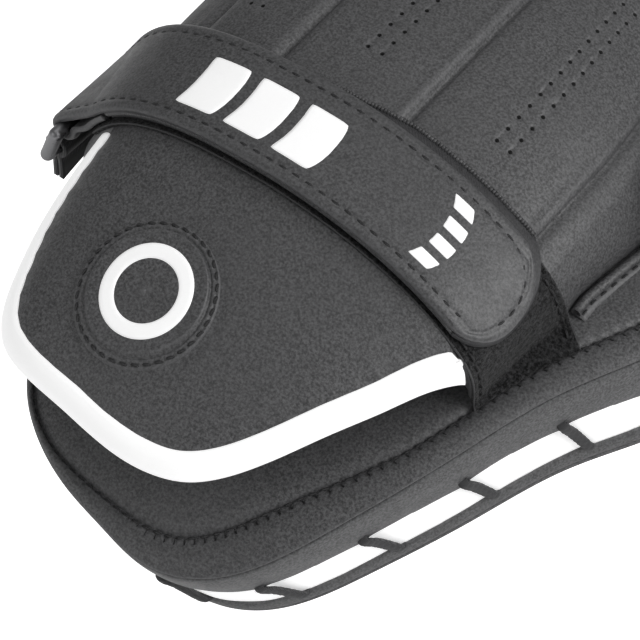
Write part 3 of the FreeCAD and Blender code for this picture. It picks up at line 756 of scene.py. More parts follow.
def strike_face():
    """Underside of the pad, from the rim seam to the middle."""
    turn = rolled_grid([(0.25, 2.45), (-0.25, 2.1), (-0.35, 1.4), (0.1, 0.75), (1.0, 0.32),
                        (2.4, 0.12)])

    def level(t, x, s):
        return (0.12 - 0.35 * (1 - t ** 2)
                + 0.12 * noise2(x / 30, s / 30, seed=2) * (1 - t ** 6))
    face = plate(2.6, level, np.r_[np.linspace(1.0, 0.93, 8), np.linspace(0.90, 0.001, 26)])
    skin("strike_face_leather", np.concatenate([turn, press_flat(face)], 1), LEATHER,
         "strike_face", thick=0.7, ref=(0, 0, 40))


def back_panel():
    """Seam, quick rise, shallow crown; drawn down at each stitch."""
    reach = 78.0                  # rough distance from the seam to the middle

    def level(t, x, s):
        inside = (1 - t) * reach
        return (39.55 + 1.25 * (1 - np.exp(-inside / 1.1)) + 0.7 * (1 - np.exp(-inside / 9.0))
                + 0.18 * noise2(x / 14, s / 14, seed=8) * np.clip(inside / 6, 0, 1))
    shrink = np.r_[1.004, np.linspace(1.0, 0.93, 12), np.linspace(0.915, 0.70, 12),
                   np.linspace(0.66, 0.001, 16)]
    grid = plate(INSET + 0.35, level, shrink)
    fade = np.exp(-((1 - shrink) * reach).clip(0) / 1.6)
    grid[..., 2] -= (1 - PUCKER)[:, None] * fade[None, :] * 0.35
    skin("back_panel_leather", grid, LEATHER, "back_panel", thick=0.7,
         ref=(0, 0, -50))


def seam_threads():
    """Thread along the back seam, the shoulder seam and the lower rim seam."""
    arc = np.linspace(0, PERIMETER, 1600, endpoint=False)
    back = stitches(rim(arc, smooth_inset(arc) - 0.3, 39.95), rim_up(arc, 0.9),
                    length=2.2, gap=1.1, radius=0.40, closed=True)
    shoulder = stitches(rim(arc, 0.35, 38.5), rim_up(arc, 0.15),
                        length=2.4, gap=1.4, radius=0.20, lift=-0.12, closed=True)
    lower = stitches(rim(arc, 0.2, 2.62), rim_up(arc, 0.0),
                     length=2.6, gap=1.5, radius=0.28, lift=-0.05, closed=True)
    make("pad_seam_thread", join([back, shoulder, lower]), THREAD)


def seam_ticks():
    """Short cross ticks where the seam thread pulls the shoulder leather in."""
    ticks = []
    for k in range(STITCH_COUNT):
        arc = k * PERIMETER / STITCH_COUNT
        inset = float(smooth_inset(arc))
        if inset < 4.0:
            continue
        path = rim(arc + np.array([-0.25, 0, 0.35]), inset - np.array([0.45, 1.25, 2.0]),
                   np.array([39.95, 40.3, 40.6]))
        ticks.append(tube(path, rim_up(np.full(3, arc), 0.9), 0.22, 0.26, 6))
    make("pad_seam_ticks", join(ticks), THREAD)


# lace run from its slit on a slant into the lower rim: (arc from the lace, inset, level)
LACE_RUN = np.array([
    (-1.4, 1.6, 25.5), (-1.2, 0.1, 25.5), (-1.0, -1.1, 24.9), (-0.4, -1.2, 23.3),
    (0.8, -0.7, 20.4), (2.4, -0.65, 16.4), (4.0, -0.75, 12.4), (5.2, -0.85, 9.4),
    (5.8, -0.5, 7.8), (6.1, 0.5, 6.9), (6.2, 1.9, 6.4)])


def laces():
    """Braided cords over the white band."""
    steps = 64
    line = sample(np.linspace(0, len(LACE_RUN) - 1, steps), np.arange(len(LACE_RUN)), LACE_RUN)
    relax(line, 3)
    angles = circle(20)
    swell = np.interp(np.linspace(0, 1, steps), [0, 0.2, 0.45, 0.75, 1],
                      [0.85, 1.0, 1.06, 0.96, 0.85])[:, None]
    cords = []
    for k in range(LACES):
        arc = LACE_START + k * LACE_PITCH + line[:, 0]
        path = rim(arc, line[:, 1], line[:, 2])
        run = run_length(path)[:, None]
        phase = run * 2 * math.pi / 2.6
        braid = (0.13 * np.maximum(np.cos(3 * angles + phase), np.cos(3 * angles - phase))
                 + 0.06 * noise2(run * 1.7, angles[None, :] * 2 + k, seed=4))
        cords.append(sweep(path, rim_up(arc, 0.0), (0.88 + braid * 0.8) * swell,
                           (1.46 + braid) * swell, angles))
    make("rim_lace_cords", join(cords), CORD, "rim_laces")


def lace_slits():
    """Small cut in the wall leather that each lace comes out of, drawn as a thin near-black tube
    of painted shade.
    """
    u = np.linspace(-1, 1, 9)
    slits = []
    for k in range(LACES):
        arc = LACE_START + k * LACE_PITCH
        path = rim(arc - 1.35 + 1.75 * u, -0.50 - 0.05 * u, 26.15 + 0.35 * u)
        slits.append(tube(path, rim_up(np.full(9, arc), 0.0), 0.16,
                          0.34 * np.sqrt(1.02 - u ** 2), 8))
    make("rim_lace_slits", join(slits), HOLE_SHADE)


def target_patch():
    """Thin round leather on the strike face, with a turned edge and a thread ring."""
    centre_x, radius = 17, 42.0
    radii = np.r_[np.linspace(radius, radius * 0.93, 7), np.linspace(radius * 0.9, 0.01, 18)]
    r, x, s = polar_grid(radii, 120)
    level = (-0.2 - 1.25 * (1 - np.exp(-(radius - r) / 0.7))
             + 0.35 * np.exp(-((r - 36.5) / 0.8) ** 2))
    shape = slab(bent(centre_x + x, s, level), bent(centre_x + x, s, -0.1),
                 (centre_x, 0, 60), around=True)
    make("target_patch_leather", shape, LEATHER, "target_patch")
    angle, ring = circle(400), 38.6
    path = bent(centre_x + ring * np.cos(angle), ring * np.sin(angle), -1.5)
    make("target_patch_thread", stitches(path, np.array([0, 0, -1.0]), closed=True),
         THREAD)


side_band()
shoulder_roll()
side_wall()
lower_rim()
strike_face()
back_panel()
seam_threads()
seam_ticks()
laces()
lace_slits()
target_patch()

# ---------------------------------------------------------------- hand cover
UP = np.array([0, 0, 1.0])
INSIDE = (0, 0, 40)               # a point under the hand cover
COVER_ROWS, COVER_COLUMNS = 150, 260
COVER_Y = np.linspace(-72.2, 117.0, COVER_ROWS)
CHANNEL_X = (61.5, 19.8, -19.5, -46.0)    # sewn channels where the cover is widest
FOOT_PHI = 27 * DEG               # below this the wrist end drops to its thumb side foot
WRIST_Y = -72.8                   # wrist edge of the loop tape and start of the foot line
TAPE_W = 33.0

# angle against length along the arch at y = 0
ARCH_PHI = np.linspace(0.0, math.pi, 1400)
ARCH_RUN = run_length(hood(0.0, ARCH_PHI, 0.0))
ARCH_LENGTH = ARCH_RUN[-1]
# even steps along the arch instead of even angles
COVER_PHI = np.interp(np.linspace(0, ARCH_LENGTH, COVER_COLUMNS), ARCH_RUN, ARCH_PHI)


def arch_length(phi):
    return np.interp(phi, ARCH_PHI, ARCH_RUN)


def channel_phi(x, y):
    """Angle of a sewn channel, which runs straight up the cover and narrows with it."""
    _, near, _, far = stations(HOOD, y)
    if x > 0:
        return np.arccos(x * np.minimum(1, near / 74.5) / near)
    return math.pi - np.arccos((-x * np.minimum(1, far / 60.0) / far) ** (FAR_POWER / 2))


def cover_offset(y, phi):
    """How far the padded skin stands off the plain arch."""
    length = arch_length(phi)
    channels = [arch_length(channel_phi(x, y)) for x in CHANNEL_X]
    lines = [0 * length, *channels, arch_length(0 * phi + math.pi)]
    out = np.zeros_like(length)
    for a, b in zip(lines[:-1], lines[1:]):
        t = np.clip((length - a) / (b - a), 0, 1)
        out = np.where((length >= a) & (length <= b), (1 - (2 * t - 1) ** 4) * 1.05, out)
    # each channel is a groove with one lip higher than the other
    for k, channel in enumerate(channels):
        e = length - channel
        width = 1.5 + 0.3 * noise1(y / 9.0, seed=31 + k)
        out = out - (0.95 + 0.12 * noise1(y / 5.0, seed=41 + k)) * np.exp(-(e / 0.8) ** 2)
        out = out - 0.45 * np.exp(-np.abs(e) / (width + 1.2))
        out = out + 0.62 * np.exp(-((e - 2.6) / 1.7) ** 2) * (1 if k < 2 else 0.6)
        out = out + 0.30 * np.exp(-((e + 3.2) / 2.4) ** 2) * (0.4 if k < 2 else 0.8)
    out = out + 0.28 * noise2(y / 26.0, length / 22.0, seed=7)
    out = out + 0.07 * noise2(y / 7.0, length / 6.0, seed=9)
    # pulled down at the two sewn feet
    return out - 1.0 * np.exp(-np.minimum(length, ARCH_LENGTH - length) / 2.6)


def wrist_arc(f):
    """Rim arc length across the wrist end foot, f = 0 at the wrist edge."""
    return 107.5 + 26.5 * f


def wrist_blend(y):
    """0 over the hand, 1 near the wrist."""
    return smoothstep(np.clip((12 - y) / 24.0, 0, 1))


def cover_foot(y, out):
    """Where the thumb side foot of the cover lands on the pad."""
    tape_end = WRIST_Y + TAPE_W
    f = np.clip((y - WRIST_Y) / TAPE_W, 0, 1)
    arc = wrist_arc(f)
    at_rim = rim(arc, seam_inset(arc) + 2.0 + 7.5 * f - out, 40.3)
    x = np.interp(y, [tape_end, -10, 5], [70.4, 73.8, 75.0]) + out
    y_foot = np.where(y > 5, y, np.interp(y, [tape_end, 5], [-30.2, 5.0]))
    k = np.clip((y - tape_end) / 3.0, 0, 1)[..., None]
    return at_rim * (1 - k) + xyz(x, y_foot, arch_base(y_foot)) * k


def draped(y, phi, out):
    """Cover arch, dropping steeply near the wrist from the thumb knuckle to its foot."""
    y, phi, out = np.broadcast_arrays(np.asarray(y, float), phi, out)
    s = np.clip((FOOT_PHI - phi) / FOOT_PHI, 0, 1)
    drop = hood(y, FOOT_PHI, out) * (1 - s[..., None]) + cover_foot(y, out) * s[..., None]
    drop[..., 0] += 1.6 * np.sin(math.pi * s) * (1 - 0.5 * s)
    share = (wrist_blend(y) * (phi < FOOT_PHI))[..., None]
    return hood(y, phi, out) * (1 - share) + drop * share


def round_tip(points, y, start, length, amount):
    """Bring the fingertip end down towards the pad, in place."""
    base = arch_base(y)
    f = np.clip((y - start) / length, 0, 1)
    shrink = np.sqrt(np.clip(1 - f ** 2 * amount, 0, 1))
    points[..., 2] = base + (points[..., 2] - base) * shrink
    return points


def cover_point(y, phi, out, tip=101.0):
    return round_tip(draped(y, phi, out), y, tip, 16.5, 0.93)


# air hole columns in pairs: (first angle, second angle, first y, rows)
AIR_HOLES = ((90.7, 88.2, -23.1, 25), (58.2, 54.4, -24.5, 25), (121.9, 117.4, -24.8, 21))
HOLE_PITCH, HOLE_R, HOLE_DEPTH = 4.75, 0.62, 1.35


def draw_pits(grid):
    """Copy of the cover grid drawn into pits, and a mask of the pit faces, which get a
    near-black painted shade.
    """
    normals = grid_normals(grid)
    if not outward(grid, INSIDE):
        normals = -normals
    pitted = grid.copy()
    mask = np.zeros((COVER_ROWS - 1, COVER_COLUMNS - 1), int)
    holes = [(y0 + HOLE_PITCH * row, degrees * DEG) for first, second, y0, rows in AIR_HOLES
             for row in range(rows) for degrees in (first, second)]
    for y, phi in holes:
        i = int(round((y - COVER_Y[0]) / (COVER_Y[1] - COVER_Y[0])))
        j = int(np.argmin(np.abs(COVER_PHI - phi)))
        y, phi = np.array([y]), np.array([phi])
        centre = cover_point(y, phi, cover_offset(y, phi))[0]
        normal = normals[i, j]
        along = grid[i + 1, j] - grid[i - 1, j]
        along = along - normal * (along @ normal)
        along /= np.linalg.norm(along)
        across = np.cross(normal, along)
        if (grid[i, j + 1] - grid[i, j - 1]) @ across < 0:
            across = -across
        for di in (-1, 0, 1):
            for dj in (-1, 0, 1):
                if di == 0 and dj == 0:
                    pitted[i, j] = centre - normal * HOLE_DEPTH
                    continue
                ring = (along * di + across * dj) / math.hypot(di, dj)
                pitted[i + di, j + dj] = centre + ring * HOLE_R - normal * 0.05
        mask[i - 1:i + 1, j - 1:j + 1] = 1
    return pitted, mask


def hand_cover():
    y, phi = np.meshgrid(COVER_Y, COVER_PHI, indexing="ij")
    plain = cover_point(y, phi, cover_offset(y, phi))
    outer, mask = draw_pits(plain)
    inner = cover_point(y, phi, -1.8)
    if not outward(plain, INSIDE):
        outer, inner, mask = outer[:, ::-1], inner[:, ::-1], mask[:, ::-1]
    shape = shell(outer, inner)
    # pit faces take the near-black painted shade
    face_materials = np.zeros(len(shape[1]), int)
    face_materials[:mask.size] = mask.ravel()
    make("hand_cover_leather", shape, [LEATHER, HOLE_SHADE], "hand_cover_shell",
         face_materials=face_materials)


def cover_layer(name, y_end, out_top, out_under, material, replaces, y_start):
    """Layer under the cover leather, between two offsets from the arch."""
    y, phi = np.meshgrid(np.linspace(y_start, y_end, 60), np.linspace(0.0, math.pi, 70),
                         indexing="ij")
    top, under = (cover_point(y, phi, out, tip=97.0) for out in (out_top, out_under))
    make(name, slab(top, under, INSIDE), material, replaces)


def foot_line(side, y, out, lift):
    """Line beside a foot of the cover; side 1 is the thumb side, -1 the far side."""
    centre, near, crown, far = stations(HOOD, y)
    base = arch_base(y)
    r = np.clip((pad_top(y) + lift - base) / (crown - base), 0, 1)
    if side > 0:
        share = wrist_blend(y)
        foot = cover_foot(y, 0.6)
        x = centre + near * np.sqrt(1 - r ** 2) + out
        x = x * (1 - share) + (foot[:, 0] + out) * share
        y = y * (1 - share) + foot[:, 1] * share
    else:
        x = centre - far * (1 - r ** FAR_POWER) ** (1 / FAR_POWER) - out
    return xyz(x, y, pad_top(y) + lift)


def piping():
    """Corded leather edge along the two feet, its flange, and a sewn line beside it."""
    parts, threads = [], []
    for side, y_start in ((1, -39.0), (-1, -37.0)):
        y = np.linspace(y_start, 101.0, 260)
        parts.append(tube(foot_line(side, y, 1.35, 1.55), UP,
                          1.3 + 0.05 * noise1(y / 3.0, seed=51), 1.35, 14))
        inner, outer = foot_line(side, y, 0.4, 0.3), foot_line(side, y, 4.4, 0.15)
        flange = np.stack([inner + UP * 0.1, (inner * 2 + outer) / 3 + UP * 0.75,
                           (inner + 2 * outer) / 3 + UP * 0.7, outer + UP * 0.1], 1)
        below = flange.reshape(-1, 3).mean(0) - UP * 500
        parts.append(slab(flange, flange - UP * 0.9, below))
        threads.append(stitches(foot_line(side, y, 3.0, 0.75), UP, length=2.6, gap=1.3,
                                radius=0.32))
    make("hand_cover_piping_cord", join(parts), LEATHER,
         "hand_cover_piping")
    make("hand_cover_piping_thread", join(threads), THREAD)


def thumb_point(y, phi, out):
    return round_tip(arch(THUMB, y, phi, out, 2.0), y, 56.0, 13.5, 0.9)


def thumb_sleeve():
    """Sleeve on the side of the hand cover; its inner side sinks into the cover skin."""
    ref = (84, 30, 60)
    seam = 1.15                   # angle of the sewn line
    y, phi = np.meshgrid(np.linspace(2, 70, 64), np.linspace(0, math.pi, 76), indexing="ij")
    out = (0.5 * (1 - (2 * phi / math.pi - 1) ** 4) + 0.2 * noise2(y / 12, phi * 4, seed=61)
           - 0.9 * np.exp(-((phi - seam) * 17 / 0.9) ** 2) - 0.6 * np.exp(-(y - 2) / 1.2))
    make("thumb_sleeve_leather", slab(thumb_point(y, phi, out), thumb_point(y, phi, -1.8), ref),
         LEATHER, "thumb_sleeve")
    top, under = (thumb_point(y[:58:2], phi[:58:2], d) for d in (-2.1, -4.2))
    make("thumb_mesh_lining", slab(top, under, ref), LINING, "thumb_lining")
    path = thumb_point(np.linspace(3, 66, 120), seam + 0.09, 0.35)
    make("thumb_sleeve_thread",
         stitches(path, np.array([0.5, 0, 0.8]), length=2.6, gap=1.3, radius=0.32),
         THREAD)


def palm_dome():
    """Low dome on the back panel, covered in mesh cloth and sewn round."""
    level = 41.2
    r, x, y = polar_grid(np.r_[np.linspace(0.01, 30, 22), np.linspace(31.5, 36, 8)], 120)
    height = (6.2 * np.clip(1 - (r / 36.4) ** 2.2, 0, 1) ** 0.8
              + 0.12 * noise2(x / 6, y / 6, seed=71))
    shape = slab(xyz(x, y, pad_top(y, level) + height), xyz(x, y, pad_top(y, 40.6)), INSIDE,
                 around=True, axis=0)
    make("palm_dome_cover", shape, LINING, "palm_dome")
    angle, ring = circle(300), 34.2
    y = ring * np.sin(angle)
    path = xyz(ring * np.cos(angle), y, pad_top(y, level) + 1.3)
    make("palm_dome_thread", stitches(path, UP, closed=True, radius=0.35), THREAD)


hand_cover()
cover_layer("hand_cover_padding", 112.0, -2.1, -6.9, FOAM, "hand_cover_foam",
            y_start=-71.6)
cover_layer("hand_cover_mesh_lining", 108.0, -7.2, -8.4, LINING,
            "hand_cover_lining", y_start=-71.5)
piping()
thumb_sleeve()
palm_dome()

# ---------------------------------------------------------------- wrist cuff
# free edge in plan (x, y), from the thumb side round the wrist to the far side
CUFF_EDGE = np.array([
    (68, -74.4), (62, -83.5), (56.5, -94), (49.5, -106), (40.5, -120.5), (33, -129.5),
    (26.5, -134.5), (20, -137.2), (12, -138.7), (3, -138.7), (-11, -136.9), (-27, -134),
    (-37, -129.5), (-43, -122.5), (-47, -112), (-50, -100), (-51, -88), (-51, -74.4)], float)
FLAP_STEPS = 260
FLAP_EDGE = resample(cubic_spline(CUFF_EDGE, 1200), FLAP_STEPS)
_along = np.gradient(FLAP_EDGE, axis=0)
_along /= np.linalg.norm(_along, axis=1, keepdims=True)
INWARD = np.stack([_along[:, 1], -_along[:, 0]], 1)
FLAP_RUN = run_length(FLAP_EDGE)
FLAP_SEAM_Y = -73.9               # where the flap meets the hand cover
BINDING_W = 4.7                   # width of the binding on top, in plan
CUFF_INSIDE = (0, -100, 40)       # a point under the cuff

EMBLEM_X, EMBLEM_Y, EMBLEM_R = -6.3, -108.2, 19.3
EMBLEM_STRETCH = 1.10             # the emblem is this much shorter along y in plan


def flap_line(inset):
    """Plan line inside the free edge, kept on the wrist side of the seam."""
    line = FLAP_EDGE + INWARD * np.reshape(inset, (-1, 1))
    line[:, 1] = np.minimum(line[:, 1], FLAP_SEAM_Y)
    return line


def flap_plan(inset, shares, seam_y=FLAP_SEAM_Y):
    """Plan x and y from a line inside the free edge to the seam with the hand cover."""
    line = flap_line(inset)
    k = np.linspace(0, 1, FLAP_STEPS)
    spread = 0.5 * (0.5 - 0.5 * np.cos(math.pi * k)) + 0.5 * k
    seam_x = line[0, 0] + (line[-1, 0] - line[0, 0]) * spread
    seam = np.stack([seam_x, np.full(FLAP_STEPS, seam_y)], 1)
    t = shares[None, :, None]
    grid = line[:, None] * (1 - t) + seam[:, None] * t
    return grid[..., 0], grid[..., 1]


def puff(x, y):
    """Soft stuffing of the flap: rises from the binding, with slow dents."""
    away = np.hypot(x[..., None] - FLAP_EDGE[::8, 0], y[..., None] - FLAP_EDGE[::8, 1])
    inside = np.clip(np.min(away, -1) - BINDING_W, 0, 60)
    return (1.35 * (1 - np.exp(-inside / 3.2)) - 0.9
            + 0.25 * noise2(x / 24, y / 20, seed=81) * np.clip(inside / 10, 0, 1))


def cuff_top():
    shares = np.r_[np.linspace(0, 0.08, 8)[:-1], np.linspace(0.08, 1.0, 64)]
    x, y = flap_plan(BINDING_W - 0.6, shares, seam_y=-70.9)
    r = np.hypot(x - EMBLEM_X, (y - EMBLEM_Y) * EMBLEM_STRETCH)
    # a shallow groove rings the emblem patch
    out = puff(x, y) - 0.35 * np.exp(-((r - EMBLEM_R - 0.9) / 1.1) ** 2)
    return make("cuff_top_leather", slab(cuff_xy(x, y, out), cuff_xy(x, y, -2.4), CUFF_INSIDE),
                LEATHER, "cuff_shell", body=None)


def flap_layer(name, inset, out_top, out_under, material, replaces):
    x, y = flap_plan(inset, np.linspace(0, 1, 40))
    shape = slab(cuff_xy(x, y, out_top), cuff_xy(x, y, out_under), CUFF_INSIDE)
    return make(name, shape, material, replaces, body=None)


# binding section from the top side round the nose to the underside: (inset, height)
BINDING = np.array([
    (BINDING_W + 0.9, -1.7), (BINDING_W + 0.15, -1.0), (BINDING_W - 0.35, -0.35),
    (BINDING_W - 1.1, -0.05), (3.0, 0.05), (1.9, -0.15), (0.95, -0.9), (0.3, -1.9),
    (0.0, -2.9), (-0.1, -3.8), (0.05, -4.7), (0.45, -5.6), (1.1, -6.3), (2.1, -6.65),
    (3.4, -6.75), (BINDING_W - 0.6, -6.65), (BINDING_W, -6.4), (BINDING_W + 0.8, -5.8)])


def cuff_binding():
    """White strip folded round the padded edge."""
    edge_z = cuff_z(*flap_line(2.5).T, 0.0)
    columns = []
    for j, (inset, height) in enumerate(catmull_rom(BINDING, 3)):
        ripple = 0.10 * noise1(FLAP_RUN / 8.0 + j * 0.05, seed=91)
        x, y = flap_line(inset + (ripple if inset > BINDING_W - 1.5 else 0)).T
        # heights follow the arch of the edge line itself so the nose stays upright
        k = 0.5 * min(1.0, max(0.0, -height / 6.0))
        columns.append(xyz(x, y, cuff_z(x, y, 0.0) * (1 - k) + edge_z * k + height))
    grid = np.stack(columns, 1)
    core = cuff_xy(*flap_line(3.2).T, -3.4)
    if not outward(grid, core[:, None]):
        grid = grid[:, ::-1]
    return make("cuff_edge_binding", shell(grid, grid - grid_normals(grid) * 0.8), WHITE,
                "cuff_binding", body=None)


def patch_height(r):
    """Emblem profile: turned rim, stitch groove, step up to a slightly hollow middle."""
    height = 0.95 * (1 - np.exp(-(EMBLEM_R - r) / 0.28))
    height = height - 0.35 * np.exp(-((r - (EMBLEM_R - 0.9)) / 0.4) ** 2)
    step = 1 / (1 + np.exp((r - 16.3) / 0.13))
    return (height + 0.80 * step - 0.40 * np.exp(-((r - 16.85) / 0.33) ** 2)
            - 0.38 * np.clip((15.9 - r) / 3.0, 0, 1))


def emblem_disc(radii):
    """Radius, plan x and y of emblem points, indexed [angle, radius]."""
    r, x, y = polar_grid(radii, 220)
    return r, EMBLEM_X + x, EMBLEM_Y + y / EMBLEM_STRETCH


def emblem_patch():
    """Padded round patch with a raised middle."""
    r, x, y = emblem_disc(np.r_[
        EMBLEM_R, np.linspace(EMBLEM_R - 0.25, EMBLEM_R - 2.0, 8),
        np.linspace(EMBLEM_R - 2.25, EMBLEM_R - 5.5, 18), np.linspace(EMBLEM_R - 6.5, 0.01, 16)])
    base = puff(x, y)
    shape = slab(cuff_xy(x, y, base + patch_height(r) - 0.05), cuff_xy(x, y, base - 0.5),
                 CUFF_INSIDE, around=True, axis=0)
    return make("emblem_patch_leather", shape, LEATHER, "emblem_patch",
                body=None)


def emblem_thread():
    angle, ring = circle(420), EMBLEM_R - 0.9
    x = EMBLEM_X + ring * np.cos(angle)
    y = EMBLEM_Y + ring * np.sin(angle) / EMBLEM_STRETCH
    shape = stitches(cuff_xy(x, y, puff(x, y) + 0.62), np.array([-0.1, -0.42, 0.9]),
                     length=2.2, gap=1.0, lift=0.05, closed=True, slant=0.25)
    return make("emblem_patch_thread", shape, THREAD, body=None)


def emblem_ring():
    """Plain printed ring, a thin film on the patch."""
    r, x, y = emblem_disc(np.array([8.5, 8.9, 9.8, 10.5, 11.2, 12.1, 12.5]))
    base = puff(x, y) + patch_height(r)
    film = np.where((r < 8.6) | (r > 12.4), 0.0, 0.22)
    shape = slab(cuff_xy(x, y, base + film), cuff_xy(x, y, base - 0.3), CUFF_INSIDE,
                 around=True, axis=0)
    return make("emblem_ring_print", shape, PRINT, "emblem_ring", body=None)


cuff_parts = [
    cuff_top(),
    flap_layer("cuff_padding", BINDING_W + 0.2, -2.5, -4.9, FOAM, "cuff_foam"),
    flap_layer("cuff_mesh_lining", BINDING_W - 0.4, -5.1, -6.3, LINING,
               "cuff_lining"),
    cuff_binding(),
    emblem_patch(),
    emblem_thread(),
    emblem_ring(),
]
for part in cuff_parts:
    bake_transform(part)


# ---------------------------------------------------------------- loop tape
def loop_tape():
    """Pile strip across the hand cover, flaring onto the back panel where it is sewn down."""
    length_steps, width_steps = 330, 60
    rows = []
    for f in np.linspace(0, 1, width_steps):
        phi = np.linspace(150 * DEG, 0.10 * FOOT_PHI, 900)
        path = draped(WRIST_Y + TAPE_W * f, phi, 1.3)
        # from the foot of the cover it lies on the pad and is sewn into the back seam
        arc = np.array([wrist_arc(f)])
        target = rim(arc, seam_inset(arc) - 0.5, 40.45)
        middle = (path[-1:] + target) / 2 + UP * 0.25
        path = resample(np.vstack([path, middle, target]), length_steps)
        relax(path, 10)
        rows.append(path)
    tape = np.stack(rows, 1)
    ref = (0, -56, 40)
    normals = grid_normals(tape)
    if not outward(tape, ref):
        normals = -normals
    i, j = np.meshgrid(np.arange(length_steps), np.arange(width_steps), indexing="ij")
    inside = np.minimum(j, width_steps - 1 - j) * (TAPE_W / width_steps)
    fuzz = (0.13 * noise2(i * 0.83, j * 0.87, seed=101)
            + 0.08 * noise2(i * 0.41, j * 0.43, seed=102)
            + 0.10 * noise2(i * 0.05, j * 0.07, seed=103))
    ridge = (0.15 * np.exp(-((inside - 0.6) / 0.5) ** 2)
             - 0.2 * np.exp(-((inside - 1.9) / 0.7) ** 2))
    top = tape + normals * (0.55 + fuzz + ridge)[..., None]
    # ragged long edges
    for column, seed in ((0, 104), (-1, 105)):
        top[:, column, 1] += 0.16 * noise1(np.arange(length_steps) * 0.9, seed=seed)
    make("loop_tape_pile", slab(top, tape - normals * 0.6, ref), VELOUR, "loop_tape")
    cords = [tube(tape[:, k] + normals[:, k] * 0.35, normals[:, k], 0.30, 0.30, 6)
             for k in (0, -1)]
    make("loop_tape_selvedge", join(cords), SELVEDGE)
    threads = [stitches(tape[::2, k] + normals[::2, k] * 0.9, normals[::2, k], length=2.6,
                        gap=1.4, radius=0.36, lift=0.1) for k in (4, width_steps - 5)]
    make("loop_tape_thread", join(threads), THREAD)


loop_tape()

# ---------------------------------------------------------------- strap
STRAP_Y, STRAP_HALF = -57.5, 15.4
STRAP_TIP_X = 71.3
FOLD_X, FOLD_Z, FOLD_R = -64.6, 86.0, 3.35    # fold round the ring's upper bar
STRAP_STEPS = 360
STRAP_INSIDE = np.array([0, STRAP_Y, 60.0])
_even = np.linspace(-1, 1, 41)
ACROSS = (np.sin(_even * math.pi / 2) * 0.35 + _even * 0.65) * STRAP_HALF
MIDDLE = 20                       # middle column of the strap grid
TOP_ROW = STRAP_STEPS // 2


def tip_x(v):
    """x of the blunt rounded end at v across (-1..1)."""
    across = np.linspace(-1, 1, 200)
    drop = 11.0 * (1 - np.sqrt(np.clip(1 - np.abs(across) ** 2.35, 0, 1)))
    return np.interp(v, across, STRAP_TIP_X - drop)


def strap_grid():
    """Middle surface of the strap, from its folded end to the tip."""
    columns = []
    for offset in ACROSS:
        y = STRAP_Y + offset
        over = hood(y, np.linspace(172 * DEG, 4 * DEG, 1500), 5.75)
        over = over[(over[:, 0] <= tip_x(offset / STRAP_HALF))
                    & ((over[:, 2] >= FOLD_Z + 11.5) | (over[:, 0] > 0))]
        # down the inner side, round the ring bar, and out again to the top
        under = hood(y, np.linspace(176 * DEG, 120 * DEG, 300), 3.4)
        under = under[(under[:, 2] > FOLD_Z + 4.5) & (under[:, 2] < FOLD_Z + 13.0)]
        angle = np.linspace(22, -203, 46) * DEG
        fold = xyz(FOLD_X + FOLD_R * np.cos(angle), y, FOLD_Z + FOLD_R * np.sin(angle))
        path = resample(np.vstack([under[::-1], fold, over]), 700)
        relax(path[:131], 50)
        columns.append(resample(path, STRAP_STEPS))
    return np.stack(columns, 1)


STRAP = strap_grid()
STRAP_NORMALS = grid_normals(STRAP)
if (STRAP_NORMALS[TOP_ROW, MIDDLE] @ (STRAP[TOP_ROW, MIDDLE] - STRAP_INSIDE)) < 0:
    STRAP_NORMALS = -STRAP_NORMALS
STRAP_RUN = run_length(STRAP[:, MIDDLE])
STRAP_LENGTH = STRAP_RUN[-1]


def strap_inside(u, v):
    """Distance from the nearest long edge or the tip."""
    return np.minimum(STRAP_HALF - np.abs(v), STRAP_LENGTH - u)


def strap_pillow(u, v):
    """Height of the padded leather over the middle surface."""
    inside = strap_inside(u, v)
    return (0.55 + 0.55 * (1 - np.exp(-inside / 0.9))
            - 0.30 * np.exp(-((inside - 3.1) / 0.6) ** 2)
            + 0.12 * noise2(u / 14, v / 9, seed=111))


def on_strap(u, v):
    """Point and normal by distance along and across the strap."""
    row = np.interp(u, STRAP_RUN, np.arange(STRAP_STEPS))
    column = np.interp(v, ACROSS, np.arange(len(ACROSS)))
    i = np.clip(row.astype(int), 0, STRAP_STEPS - 2)
    j = np.clip(column.astype(int), 0, len(ACROSS) - 2)
    fi, fj = (row - i)[..., None], (column - j)[..., None]

    def bilinear(grid):
        return ((grid[i, j] * (1 - fi) + grid[i + 1, j] * fi) * (1 - fj)
                + (grid[i, j + 1] * (1 - fi) + grid[i + 1, j + 1] * fi) * fj)
    return bilinear(STRAP), bilinear(STRAP_NORMALS)


def strap_face():
    u, v = np.meshgrid(STRAP_RUN, ACROSS, indexing="ij")
    lip = 0.08 * np.exp(-((strap_inside(u, v) - 1.4) / 0.8) ** 2)
    top = STRAP + STRAP_NORMALS * (strap_pillow(u, v) + lip)[..., None]
    shape = slab_facing(top, STRAP - STRAP_NORMALS * 1.0, STRAP_NORMALS)
    make("strap_face_leather", shape, STRAP_LEATHER, "strap_face",
         body="strap")


def strap_thread():
    """Stitch line inset along both edges and round the tip."""
    inset, turn = 3.1, 12
    half = STRAP_HALF - inset
    straight = np.linspace(turn, STRAP_LENGTH - turn, 300)
    angle = ((np.linspace(0, 1, 80) - 0.5) * math.pi)[1:-1]
    tip_u = STRAP_LENGTH - turn + (turn - inset) * np.abs(np.cos(angle)) ** 0.72
    tip_v = half * np.sign(np.sin(angle)) * np.abs(np.sin(angle)) ** 0.80
    points, normals = on_strap(np.r_[straight, tip_u, straight[::-1]],
                               np.r_[np.full(300, -half), tip_v, np.full(300, half)])
    shape = stitches(points + normals * 0.62, normals, length=2.9, radius=0.40, lift=0.02)
    make("strap_face_thread", shape, THREAD, body="strap")


